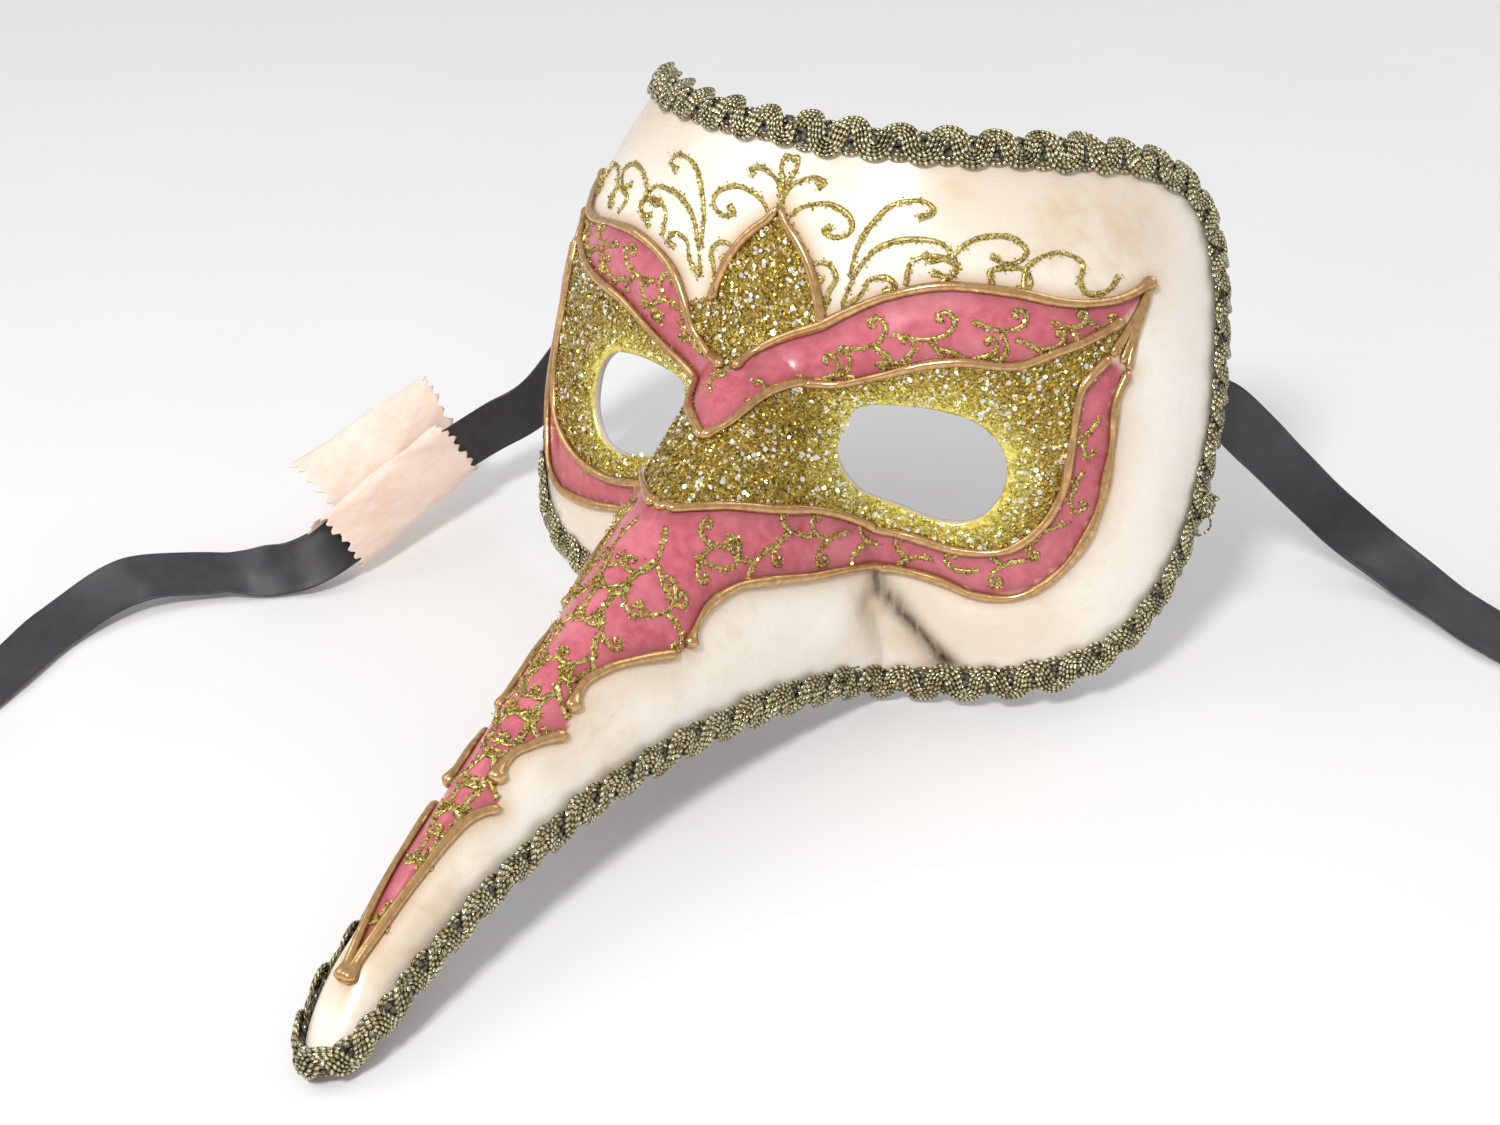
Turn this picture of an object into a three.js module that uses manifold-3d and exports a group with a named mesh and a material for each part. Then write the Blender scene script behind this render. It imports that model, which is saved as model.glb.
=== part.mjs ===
// Long-nosed venetian half mask of papier-mache, with glued gimp braid, raised gold lines,
// two satin ribbons and a folded paper tag. Millimetres, +Z up, the face looks along -Y.
// The mask stands on its nose tip and on the lower edges of its two cheeks.
import * as THREE from 'three';
import { mergeVertices } from 'three/addons/utils/BufferGeometryUtils.js';
import Module from 'manifold-3d';

const wasm = await Module();
wasm.setup();

// Driving dimensions of the moulded shell, in the face frame: the root of the nose is near the
// origin, X runs across the face, Y runs back and Z runs up.
const noseLength = 147;
const faceReach = 75;
const tipRound = 14;
const noseDrop = 0.16;
const rootBlend = 4;
const ridgeAtTip = 4;
const ridgeAtRoot = 69;
const faceHeight = 112;
const halfWidthAtTip = 6.1;
const halfWidthAtRoot = 28.2;
const halfSpread = 110.2;
const noseArch = 14;
const crestKept = 0.8;
const cheekDrop = 2;
const lowerEdge = -57;
const cornerRise = 55;
const cornerPower = 2.8;
const noseRoundness = 1.9;
const rimRoundness = 3.1;
const faceHalfWidth = 77.7;
const faceDepth = 54.4;
const wrapPower = 2.24;
// Per 60 mm of level, the half width shrinks by a straight and a squared part, the depth grows,
// and the forehead leans back; below the origin the front leans by its own slope.
const levelUnit = 60;
const widthSlope = 7.9;
const widthCurve = 12.6;
const depthSlope = 25.6;
const foreheadLean = 0.24;
const foreheadCurve = 0.41;
const cheekLean = 0.07;
const archPeak = 4;
const blendStation = noseLength + 25;
const shellThickness = 2;
const seam = 0.3;

// Resting position: the mask leans back until the nose tip and both cheeks share one level.
const restTiltDegrees = 8.42;
const restLift = 62.54;
const restBack = 42.3;

// Braid, raised lines, ribbons, pads and tag.
const braidWidthIn = 5;
const braidWidthOut = 3.2;
const braidLobe = 0.7;
const braidThickness = 2.4;
const braidLobePitch = 5;
const beadRadius = 0.9;
const beadStep = 3.5;
const beadLift = 0.15;
const beadEndTaper = 0.45;
const ribbonWidth = 12;
const ribbonThickness = 0.5;
const ribbonStep = 4;
const padSize = [1, 13, 15];
const padPlace = [215, 70];
const padClearance = 2.1;
const tagLength = 36;
const tagWidth = 21;
const tagPaper = 0.5;
const tagGap = 4.6;

const quarter = Math.PI / 2;
const degrees = Math.PI / 180;
const faceTop = lowerEdge + faceHeight;

// Place of a point of the outer surface. station is measured from the nose tip along the nose and
// then outwards over the face to the rim; angle is signed and runs round the ridge, so that zero is
// the centre line and a quarter turn is the lower edge. The place is how far across the face the
// point lies (1 at the side edge), its level, and how far it is pushed forward with the nose.
function surfacePlace(station, angle) {
  const nose = Math.min(station / noseLength, 1);
  const face = Math.min(Math.max((station - noseLength) / faceReach, 0), 1);
  const tip = Math.sqrt(1 - (1 - Math.min(station / tipRound, 1)) ** 2);
  const height = (ridgeAtTip + (ridgeAtRoot - ridgeAtTip) * nose) * tip
    + (faceHeight - ridgeAtRoot) * face;
  const width = (halfWidthAtTip + (halfWidthAtRoot - halfWidthAtTip) * nose ** 2) * tip
    + (halfSpread - halfWidthAtRoot) * face;
  const power = noseRoundness + rimRoundness * face ** 1.5;
  const sine = Math.max(Math.abs(Math.sin(angle)), 1e-6);
  const cosine = Math.max(Math.abs(Math.cos(angle)), 1e-6);
  const scale = (sine ** power + cosine ** power) ** (-1 / power);
  const across = Math.min((width * sine * scale) / halfSpread, 1);
  const arch = station < noseLength
    ? noseArch * archPeak * nose * (1 - nose) * tip - cheekDrop * nose ** 2
    : -cheekDrop * (1 - face) ** 2;
  // The arch lifts the lower edge; towards the tip it lifts part of the ridge as well.
  const given = 1 - crestKept * (1 - nose) ** 3;
  const rise = arch + height * cosine * scale * (1 - (given * arch) / Math.max(height, 1e-6));
  const edge = lowerEdge + cornerRise * (1 - (1 - across ** cornerPower) ** (1 / cornerPower));
  const push = Math.log1p(Math.exp((noseLength - station) / rootBlend)) * rootBlend;
  return { across: across * Math.sign(angle), z: edge + (rise * (faceTop - edge)) / faceHeight, push };
}

// The face itself: a wall that wraps back towards its sides, leans back over the forehead, and
// moves forward and down where the nose pushes it.
function facePoint({ across, z, push }) {
  const level = z / levelUnit;
  const half = faceHalfWidth - widthSlope * level - widthCurve * level ** 2;
  const depth = faceDepth + depthSlope * level;
  const front = z > 0 ? -foreheadLean * z + foreheadCurve * z * level : -cheekLean * z;
  const turn = Math.abs(across) * quarter;
  const sine = Math.sin(turn);
  const cosine = Math.max(Math.cos(turn), 0);
  const wrap = (sine ** wrapPower + cosine ** wrapPower) ** (-1 / wrapPower);
  return new THREE.Vector3(
    half * sine * wrap * Math.sign(across),
    front + depth * (1 - cosine * wrap) - push,
    z - noseDrop * push,
  );
}

function maskPoint(station, angle) {
  return facePoint(surfacePlace(station, angle));
}

// Point of the outer surface and its outward normal.
function surfaceFrame(station, angle) {
  const point = maskPoint(station, angle);
  if (station > blendStation) {
    const place = surfacePlace(station, angle);
    const at = (aside, higher) => facePoint({
      across: Math.sign(angle || 1) * Math.min(Math.abs(place.across) + aside, 1),
      z: place.z + higher,
      push: place.push,
    });
    const sideways = at(0.003, 0).sub(at(-0.003, 0)).multiplyScalar(Math.sign(angle || 1));
    const upwards = at(0, 0.1).sub(at(0, -0.1));
    return { point, normal: sideways.cross(upwards).normalize() };
  }
  const step = 0.02;
  const turn = 0.002;
  const middle = Math.min(Math.max(angle, turn - quarter), quarter - turn);
  const along = maskPoint(station + step, angle).sub(maskPoint(Math.max(station - step, 0.01), angle));
  const round = maskPoint(station, middle + turn).sub(maskPoint(station, middle - turn));
  return { point, normal: round.cross(along).normalize() };
}

// Closed body from vertices and faces, turned so that its faces point out.
function closedGeometry(vertices, faces) {
  let volume = 0;
  for (const [a, b, c] of faces) {
    volume += vertices[a].dot(new THREE.Vector3().crossVectors(vertices[b], vertices[c]));
  }
  const index = faces.flatMap(([a, b, c]) => (volume > 0 ? [a, b, c] : [a, c, b]));
  const geometry = new THREE.BufferGeometry();
  geometry.setAttribute('position',
    new THREE.Float32BufferAttribute(vertices.flatMap((v) => [v.x, v.y, v.z]), 3));
  geometry.setIndex(index);
  geometry.computeVertexNormals();
  return geometry;
}

// Closed body through a row of rings, each with the same number of points. A side is cut into
// triangles along its first diagonal, or along the other one where it is listed as crossed.
function ringBody(rings, crossedSides = []) {
  const count = rings[0].length;
  const vertices = rings.flat();
  const faces = [];
  for (let r = 0; r + 1 < rings.length; r += 1) {
    for (let k = 0; k < count; k += 1) {
      const a = r * count + k;
      const b = r * count + (k + 1) % count;
      if (crossedSides.includes(k)) faces.push([a, b, a + count], [b, b + count, a + count]);
      else faces.push([a, b, b + count], [a, b + count, a + count]);
    }
  }
  const last = (rings.length - 1) * count;
  for (let k = 1; k + 1 < count; k += 1) {
    faces.push([0, k + 1, k], [last, last + k, last + k + 1]);
  }
  return closedGeometry(vertices, faces);
}

// The shell is the outer surface and a copy of it one thickness further in, joined round the rim.
function stations() {
  const list = [];
  const tipSteps = 5;
  for (let i = 0; i < tipSteps; i += 1) {
    list.push(0.05 + tipRound * (1 - Math.cos((i / tipSteps) * quarter)));
  }
  for (let s = tipRound; s < noseLength - 12; s += 11) list.push(s);
  for (let s = noseLength - 10; s < noseLength + 12; s += 4.4) list.push(s);
  const faceSteps = 11;
  for (let i = 0; i <= faceSteps; i += 1) {
    list.push(noseLength + 13 + (faceReach - 13) * (i / faceSteps));
  }
  return list;
}

function shellGeometry() {
  const rows = stations();
  const columns = 32;
  const outer = [];
  const inner = [];
  for (const station of rows) {
    for (let c = 0; c <= columns; c += 1) {
      const angle = ((c / columns) * 2 - 1) * quarter;
      const { point, normal } = surfaceFrame(station, angle);
      outer.push(point);
      inner.push(point.clone().addScaledVector(normal, -shellThickness));
    }
  }
  const wide = columns + 1;
  const size = outer.length;
  const faces = [];
  for (let r = 0; r + 1 < rows.length; r += 1) {
    for (let c = 0; c < columns; c += 1) {
      const a = r * wide + c;
      const b = a + 1;
      const d = a + wide;
      const e = d + 1;
      faces.push([a, b, e], [a, e, d]);
      faces.push([size + a, size + e, size + b], [size + a, size + d, size + e]);
    }
    for (const [a, turned] of [[r * wide, false], [r * wide + columns, true]]) {
      const b = a + wide;
      if (turned) faces.push([a, size + a, size + b], [a, size + b, b]);
      else faces.push([a, size + b, size + a], [a, b, size + b]);
    }
  }
  for (let c = 0; c < columns; c += 1) {
    const last = (rows.length - 1) * wide + c;
    faces.push([c, size + c + 1, c + 1], [c, size + c, size + c + 1]);
    faces.push([last, last + 1, size + last + 1], [last, size + last + 1, size + last]);
  }
  const whole = closedGeometry([...outer, ...inner], faces);
  let cut = toSolid(whole);
  for (const side of [1, -1]) cut = cut.subtract(toSolid(eyeCutter(side)));
  return fromSolid(cut);
}

function toSolid(geometry) {
  const bare = geometry.clone();
  bare.deleteAttribute('normal');
  if (bare.attributes.uv) bare.deleteAttribute('uv');
  const merged = mergeVertices(bare, 1e-3);
  return new wasm.Manifold(new wasm.Mesh({
    numProp: 3,
    vertProperties: new Float32Array(merged.attributes.position.array),
    triVerts: new Uint32Array(merged.index.array),
  }));
}

function fromSolid(solid) {
  const mesh = solid.getMesh();
  const geometry = new THREE.BufferGeometry();
  geometry.setAttribute('position', new THREE.BufferAttribute(mesh.vertProperties, 3));
  geometry.setIndex(new THREE.BufferAttribute(mesh.triVerts, 1));
  geometry.computeVertexNormals();
  return geometry;
}

// Outline of the right eye hole in face millimetres, X then Z, as a closed smooth curve.
const eyeOutline = [
  [17.2, -6.5], [21, 1.8], [29, 3.8], [40, 3.8], [48.5, 1.6], [54.5, -4.5], [54.8, -12.5], [50, -18.6],
  [42, -20], [33, -18], [23, -15],
];
const eyeSlant = 0.45;
const eyeCutFront = -45;
const eyeCutBack = 30;

function eyeCutter(side) {
  const outline = new THREE.CatmullRomCurve3(
    eyeOutline.map(([x, z]) => new THREE.Vector3(x * side, 0, z)), true).getPoints(36).slice(0, 36);
  const slice = (y) => outline.map((p) => new THREE.Vector3(p.x - side * eyeSlant * y, y, p.z));
  const front = slice(eyeCutFront);
  const backward = slice(eyeCutBack);
  const vertices = [...front, ...backward];
  const count = outline.length;
  const faces = [];
  for (let k = 0; k < count; k += 1) {
    const next = (k + 1) % count;
    faces.push([k, next, count + next], [k, count + next, count + k]);
  }
  const centre = (list) => list.reduce((sum, p) => sum.add(p), new THREE.Vector3()).divideScalar(count);
  vertices.push(centre(front), centre(backward));
  for (let k = 0; k < count; k += 1) {
    const next = (k + 1) % count;
    faces.push([2 * count, next, k], [2 * count + 1, count + k, count + next]);
  }
  return closedGeometry(vertices, faces);
}

// The rim, as stations and angles, from the top centre down one side and along the lower edge.
function rimPlaces() {
  const list = [];
  for (let a = 0; a < 90; a += 1.5) list.push([noseLength + faceReach, a * degrees]);
  for (let s = noseLength + faceReach; s > tipRound; s -= 1.5) list.push([s, quarter]);
  for (let a = 90; a >= 0; a -= 5) {
    list.push([0.02 + tipRound * (1 - Math.cos(a * degrees)), quarter]);
  }
  return list;
}

function rimFrames(side) {
  const edge = rimPlaces().map(([station, angle]) => surfaceFrame(station, angle));
  edge[edge.length - 1].normal.set(0, -1, 0);
  edge.forEach((place, i) => {
    const before = edge[Math.max(i - 1, 0)].point;
    const after = edge[Math.min(i + 1, edge.length - 1)].point;
    place.out = new THREE.Vector3().crossVectors(place.normal, after.clone().sub(before)).normalize();
  });
  for (const place of edge) {
    for (const vector of [place.point, place.normal, place.out]) vector.x *= side;
  }
  return edge;
}

// Rim frames at equal steps along the edge, between two lengths measured from the top centre.
function rimStretch(side, from, to, pitch = braidLobePitch) {
  const edge = rimFrames(side);
  const length = [0];
  for (let i = 1; i < edge.length; i += 1) {
    length.push(length[i - 1] + edge[i].point.distanceTo(edge[i - 1].point));
  }
  const end = Math.min(to, length[length.length - 1]);
  const count = Math.max(1, Math.round((end - from) / pitch));
  const frames = [];
  for (let k = 0; k <= count; k += 1) {
    const want = from + ((end - from) * k) / count;
    let i = 0;
    while (i + 2 < edge.length && length[i + 1] < want) i += 1;
    const share = (want - length[i]) / Math.max(length[i + 1] - length[i], 1e-9);
    const mix = (name) => edge[i][name].clone().lerp(edge[i + 1][name], share);
    frames.push({ point: mix('point'), normal: mix('normal').normalize(), out: mix('out').normalize() });
  }
  return frames;
}

function braidRing({ point, normal, out }, lobe) {
  const corner = (sideways, height) => point.clone()
    .addScaledVector(out, sideways).addScaledVector(normal, height);
  const outward = braidWidthOut + (lobe ? braidLobe : 0);
  const inward = -braidWidthIn - (lobe ? 0 : braidLobe);
  const top = seam + braidThickness;
  return [
    corner(inward, seam + 0.1), corner(outward, seam), corner(outward, top * 0.7),
    corner((outward + inward) / 2, top), corner(inward, top * 0.7),
  ];
}

function braidGeometry(frames) {
  return ringBody(frames.map((frame, k) => braidRing(frame, k % 2 === 0)));
}

// A raised line: a round bead that follows a smooth path on the surface.
function beadGeometry(places, side) {
  const path = new THREE.CatmullRomCurve3(places.map(([s, a]) => new THREE.Vector3(s, a, 0)), false,
    'centripetal');
  const fine = path.getPoints(200).map((p) => surfaceFrame(p.x, p.y * degrees));
  let total = 0;
  const length = fine.map((f, i) => {
    if (i > 0) total += f.point.distanceTo(fine[i - 1].point);
    return total;
  });
  const count = Math.max(3, Math.round(total / beadStep));
  const rings = [];
  for (let k = 0; k <= count; k += 1) {
    let i = 0;
    while (i + 1 < fine.length && length[i] < (total * k) / count) i += 1;
    const { point, normal } = fine[i];
    const before = fine[Math.max(i - 1, 0)].point;
    const after = fine[Math.min(i + 1, fine.length - 1)].point;
    const forward = after.clone().sub(before).normalize();
    const across = new THREE.Vector3().crossVectors(normal, forward).normalize();
    const taper = k === 0 || k === count ? beadEndTaper : 1;
    const radius = beadRadius * taper;
    const centre = point.clone().addScaledVector(normal, seam + beadRadius + beadLift);
    rings.push([...Array(6).keys()].map((j) => {
      const turn = (j * Math.PI) / 3;
      return centre.clone().addScaledVector(across, Math.cos(turn) * radius)
        .addScaledVector(normal, Math.sin(turn) * radius);
    }));
  }
  for (const ring of rings) for (const vertex of ring) vertex.x *= side;
  return ringBody(rings);
}

// Raised lines of one half, as stations and angles in degrees.
const raisedLines = {
  upper_brow: [[147, 6], [153, 12], [160, 17], [168, 20], [177, 23], [184, 28], [189, 35], [193, 41],
    [199, 45], [206, 47]],
  lower_brow: [[126, 4], [131, 13], [139, 21], [150, 28], [159, 31], [167, 34], [174, 38], [180, 43],
    [187, 45], [193, 46.5], [198, 47.3]],
  inner_line: [[193, 49.5], [187, 50.5], [184, 53], [181, 57], [178, 62], [174, 65.5], [168, 67.5],
    [160, 66], [152, 61.5], [143, 56], [134, 48.5], [124, 39], [115, 25], [109, 12], [107, 4]],
  outer_line: [[195, 52.5], [191, 54.5], [187, 61], [184, 67], [179, 72], [171, 75], [163, 74], [155, 70],
    [147, 66.5], [138, 64.5], [127, 61], [117, 55], [109, 49.5], [102, 48], [97, 52], [95, 56]],
  scallop_1: [[92, 54], [88, 49], [83, 42], [77, 33], [72, 28], [69, 30], [67, 35]],
  scallop_2: [[64, 42], [61, 35], [57, 26], [53, 18], [50, 18], [48, 24]],
  scallop_3: [[46, 40], [43, 29], [39, 20], [34, 16], [29, 15], [24, 14], [19, 12], [14, 9]],
  petal: [[192, 1.5], [187, 4], [181, 6], [174, 8], [167, 10], [161, 13.5]],
};

// Lengths along the rim, from the top centre, between which each run of braid lies.
const braidRuns = {
  braid_side: [88.6, 188],
  braid_cheek: [188.6, 243],
  braid_nose: [243.6, 380],
};
const braidTop = 88;
const braidTip = 380.6;
const tipPitch = 2;

// One run that crosses the centre line, from the left side to the right side.
function centredRun(from, to, fromTop, pitch) {
  const right = rimStretch(1, from, to, pitch);
  const left = rimStretch(-1, from, to, pitch);
  return fromTop
    ? [...left.reverse(), ...right.slice(1)]
    : [...right, ...left.slice(0, -1).reverse()];
}

// Pad of felt glued inside the shell over the end of a ribbon, near the middle of the side edge.
function padMesh(name, side) {
  const { point, normal } = surfaceFrame(padPlace[0], padPlace[1] * degrees);
  const centre = point.addScaledVector(normal, -shellThickness - padClearance - padSize[0] / 2);
  const mesh = named(name, new THREE.BoxGeometry(...padSize), padFelt);
  mesh.position.set(centre.x * side, centre.y, centre.z);
  mesh.quaternion.setFromUnitVectors(new THREE.Vector3(side, 0, 0),
    new THREE.Vector3(normal.x * side, normal.y, normal.z));
  return mesh;
}

// Ribbon routes in the standing frame: position, then the direction of the ribbon's width. Each
// starts between the shell and its pad, passes behind the side edge and falls to the surface.
const ribbonRoutes = {
  right: [
    [73.9, 84, 54, -0.18, 0, 1], [74.6, 96.5, 53.5, -0.17, 0, 1], [76, 104.5, 50.5, 0, 0, 1],
    [83, 111, 41, 0.3, 0.5, 0.85], [89, 122, 28, 0.35, 0.65, 0.63], [98, 132, 14, 0.35, 0.7, 0.6],
    [110, 134, 5.8, 0.3, 0.8, 0.45], [124, 128, 3, 0.3, 0.9, 0.3], [138, 120, 2.8, 0.3, 0.95, 0.25],
    [152, 114, 5, 0.2, 0.6, 0.75], [166, 111, 6.7, 0, 0, 1], [184, 111.3, 6.7, 0, 0, 1],
  ],
  left: [
    [-73.9, 84, 54, 0.18, 0, 1], [-74.6, 96.5, 53.5, 0.17, 0, 1], [-76, 104.5, 51.5, 0, 0, 1],
    [-83, 103, 42, -0.3, -0.4, 0.9],
    [-87, 91, 30, -0.5, -0.2, 0.85], [-90, 79, 23, -0.4, 0, 0.9], [-95, 69, 20, -0.3, 0, 0.95],
    [-98, 57, 18, -0.3, -0.1, 0.95], [-101, 41, 15, -0.3, -0.1, 0.95], [-103, 24, 10.5, -0.4, 0, 0.9],
    [-109, 11, 7, -0.8, -0.3, 0.6], [-125, 4, 4.4, -0.4, 0.9, 0.3], [-139, -12, 6.5, -0.6, 0.5, 0.6],
    [-144, -30, 3.2, -0.95, 0.1, 0.3], [-141, -51, 2.6, -1, 0, 0.25], [-138, -66, 4.8, -0.6, 0, 0.7],
    [-139.2, -84, 6.7, 0, 0, 1],
  ],
};

// The loose length that lies beyond each route is a ring of standing turns: centre X and Y.
const ribbonCoils = { right: [188, 148], left: [-176, -88] };
const coilOuter = 36;
const coilInner = 23;
const coilHeight = 12.6;
const coilFoot = 0.3;

function routeCentre(route) {
  return new THREE.CatmullRomCurve3(route.map(([x, y, z]) => new THREE.Vector3(x, y, z)), false,
    'centripetal');
}

// The direction of the width is interpolated between the route's points, by their order.
function routeFrame(route, share) {
  const centre = routeCentre(route);
  const place = share * (route.length - 1);
  const i = Math.min(Math.floor(place), route.length - 2);
  const part = place - i;
  const before = new THREE.Vector3(...route[i].slice(3));
  const width = before.lerp(new THREE.Vector3(...route[i + 1].slice(3)), part);
  const forward = centre.getTangent(share);
  width.addScaledVector(forward, -width.dot(forward)).normalize();
  return { point: centre.getPoint(share), forward, width, flat: width.clone().cross(forward) };
}

function ribbonGeometry(route) {
  const count = Math.round(routeCentre(route).getLength() / ribbonStep);
  const rings = [];
  for (let k = 0; k <= count; k += 1) {
    const { point, width, flat } = routeFrame(route, k / count);
    const corner = (w, t) => point.clone().addScaledVector(width, (w * ribbonWidth) / 2)
      .addScaledVector(flat, (t * ribbonThickness) / 2);
    rings.push([corner(-1, -1), corner(1, -1), corner(1, 1), corner(-1, 1)]);
  }
  return ringBody(rings, [2]);
}

function coilGeometry() {
  const profile = [
    [coilInner, 0], [coilOuter, 0], [coilOuter, coilHeight], [coilInner, coilHeight], [coilInner, 0],
  ].map(([r, h]) => new THREE.Vector2(r, h));
  const geometry = new THREE.LatheGeometry(profile, 32);
  geometry.rotateX(quarter);
  return fromSolid(toSolid(geometry));
}

// The tag is one strip of paper folded in half over the lower edge of the left ribbon, so that
// the ribbon runs between its two leaves.
const tagShare = 0.5;

function tagMesh() {
  const { point, forward, width, flat } = routeFrame(ribbonRoutes.left, tagShare);
  const half = tagWidth / 2;
  const out = tagGap / 2 + tagPaper;
  const shape = new THREE.Shape();
  shape.moveTo(-out, -half);
  shape.lineTo(out, -half);
  shape.lineTo(out, half);
  shape.lineTo(out - tagPaper, half);
  shape.lineTo(out - tagPaper, -half + tagPaper);
  shape.lineTo(-out + tagPaper, -half + tagPaper);
  shape.lineTo(-out + tagPaper, half);
  shape.lineTo(-out, half);
  shape.closePath();
  const geometry = new THREE.ExtrudeGeometry(shape, { depth: tagLength, bevelEnabled: false });
  geometry.translate(0, 0, -tagLength / 2);
  const mesh = named('paper_tag', geometry, peachPaper);
  mesh.quaternion.setFromRotationMatrix(new THREE.Matrix4().makeBasis(
    width.clone().cross(forward), width, forward));
  mesh.position.copy(point);
  return mesh;
}

const paint = (color, roughness, metalness = 0) => new THREE.MeshStandardMaterial(
  { color, roughness, metalness });
const ivoryPaint = paint(0xefe4d2, 0.3);
const goldRelief = paint(0xb88a48, 0.35, 0.8);
const goldBraid = paint(0x8a8045, 0.5, 0.5);
const blackSatin = paint(0x17151a, 0.35);
const peachPaper = paint(0xf5dbc7, 0.8);
const padFelt = paint(0xe8e0d4, 0.9);

function named(name, geometry, material) {
  const mesh = new THREE.Mesh(geometry, material);
  mesh.name = name;
  return mesh;
}

const standing = new THREE.Group();
const mask = new THREE.Group();
mask.rotation.x = -restTiltDegrees * degrees;
mask.position.set(0, restBack, restLift);
standing.add(mask);

mask.add(named('mask_shell', shellGeometry(), ivoryPaint));
mask.add(named('braid_top', braidGeometry(centredRun(0, braidTop, true)), goldBraid));
mask.add(named('braid_tip', braidGeometry(centredRun(braidTip, Infinity, false, tipPitch)), goldBraid));

for (const [label, side] of [['right', 1], ['left', -1]]) {
  for (const [run, [from, to]] of Object.entries(braidRuns)) {
    mask.add(named(`${run}_${label}`, braidGeometry(rimStretch(side, from, to)), goldBraid));
  }
  for (const [line, places] of Object.entries(raisedLines)) {
    mask.add(named(`relief_${line}_${label}`, beadGeometry(places, side), goldRelief));
  }
  mask.add(padMesh(`ribbon_pad_${label}`, side));
  standing.add(named(`ribbon_${label}`, ribbonGeometry(ribbonRoutes[label]), blackSatin));
  const coil = named(`ribbon_coil_${label}`, coilGeometry(), blackSatin);
  coil.position.set(...ribbonCoils[label], coilFoot);
  standing.add(coil);
}
standing.add(tagMesh());

export default standing;
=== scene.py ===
import math
import random

import bpy
import bmesh
import numpy as np
from mathutils import Matrix, Vector
from mathutils.kdtree import KDTree


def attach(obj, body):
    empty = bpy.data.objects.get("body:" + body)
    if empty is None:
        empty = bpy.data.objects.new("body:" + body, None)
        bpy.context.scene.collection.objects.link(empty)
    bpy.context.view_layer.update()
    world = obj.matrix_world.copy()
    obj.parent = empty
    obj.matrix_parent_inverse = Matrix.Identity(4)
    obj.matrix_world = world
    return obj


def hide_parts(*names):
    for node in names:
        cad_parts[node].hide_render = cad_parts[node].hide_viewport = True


MM = 0.001
random.seed(7)
chance = np.random.default_rng(7)

# The moulded shell, as in the CAD part.
NOSE_LENGTH = 147.0
FACE_REACH = 75.0
RIM_STATION = NOSE_LENGTH + FACE_REACH
TIP_ROUND = 14.0
LOWER_EDGE = -57.0
FACE_HEIGHT = 112.0
FACE_TOP = LOWER_EDGE + FACE_HEIGHT
HALF_SPREAD = 110.2
WRAP_POWER = 2.24
# Height and half width of the section: at the nose tip, added along the nose, added over the face.
SECTION_HEIGHT = (4.0, 65.0, 43.0)
SECTION_WIDTH = (6.1, 22.1, 82.0)
# The section's outline is rounder on the nose and squarer on the face.
SECTION_POWER = (1.9, 3.1)
NOSE_ARCH = 56.0
ROOT_SAG = 2.0
CREST_KEPT = 0.8
EDGE_CLIMB = 55.0
EDGE_POWER = 2.8
ROOT_BLEND = 4.0
NOSE_DROOP = 0.16
# Half width and depth of the wrap round the head, and how they change with the level.
LEVEL_UNIT = 60.0
WRAP_HALF = (77.7, -7.9, -12.6)
WRAP_DEPTH = (54.4, 25.6)
FOREHEAD_LEAN = (-0.24, 0.41)
CHEEK_LEAN = -0.07
SHELL_THICKNESS = 2.0
REST_TILT = math.radians(8.42)
REST_BACK = 42.3
REST_LIFT = 62.54
QUARTER = math.pi / 2

# The camera stands in front of the mask, to its +X side and above it.
CAMERA_AZIMUTH = 31.84
CAMERA_ELEVATION = 30.72
CAMERA_ROLL = -1.64
CAMERA_PLACE = (211.4, -306.4, 265.1)
CAMERA_LENS = 52.8

# Trim sizes.
BRAID_MIDDLE = -1.0
BRAID_WAVE = 2.5
BRAID_SWELL = 0.45
BRAID_PITCH = 9.3
BRAID_BASE = 0.9
STRAND_RADIUS = 0.43
BEAD_RADIUS = 0.98
BEAD_STEP = 0.45
SCROLL_RADIUS = 0.66
FIELD_FLAKES = 24000
SCROLL_FLAKES = 13000
FLAKE_RADIUS = 0.26
# The big flakes are coloured near white: painted glints.
GLINT_FLAKE_RADIUS = 0.5
GLINT_FLAKE_SHARE = 0.06
RIBBON_WIDTH = 12.0
RIBBON_LENGTH = 450.0
RIBBON_STEP = 1.2
COIL_PITCH = 5.6
TAG_LENGTH = 39.0
TAG_HALF = 10.2
TAG_COLUMNS = 60
PAPER_HALF = 0.13


# ---- surface of the shell

def unit(vectors):
    return vectors / np.maximum(np.linalg.norm(vectors, axis=-1, keepdims=True), 1e-12)


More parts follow.
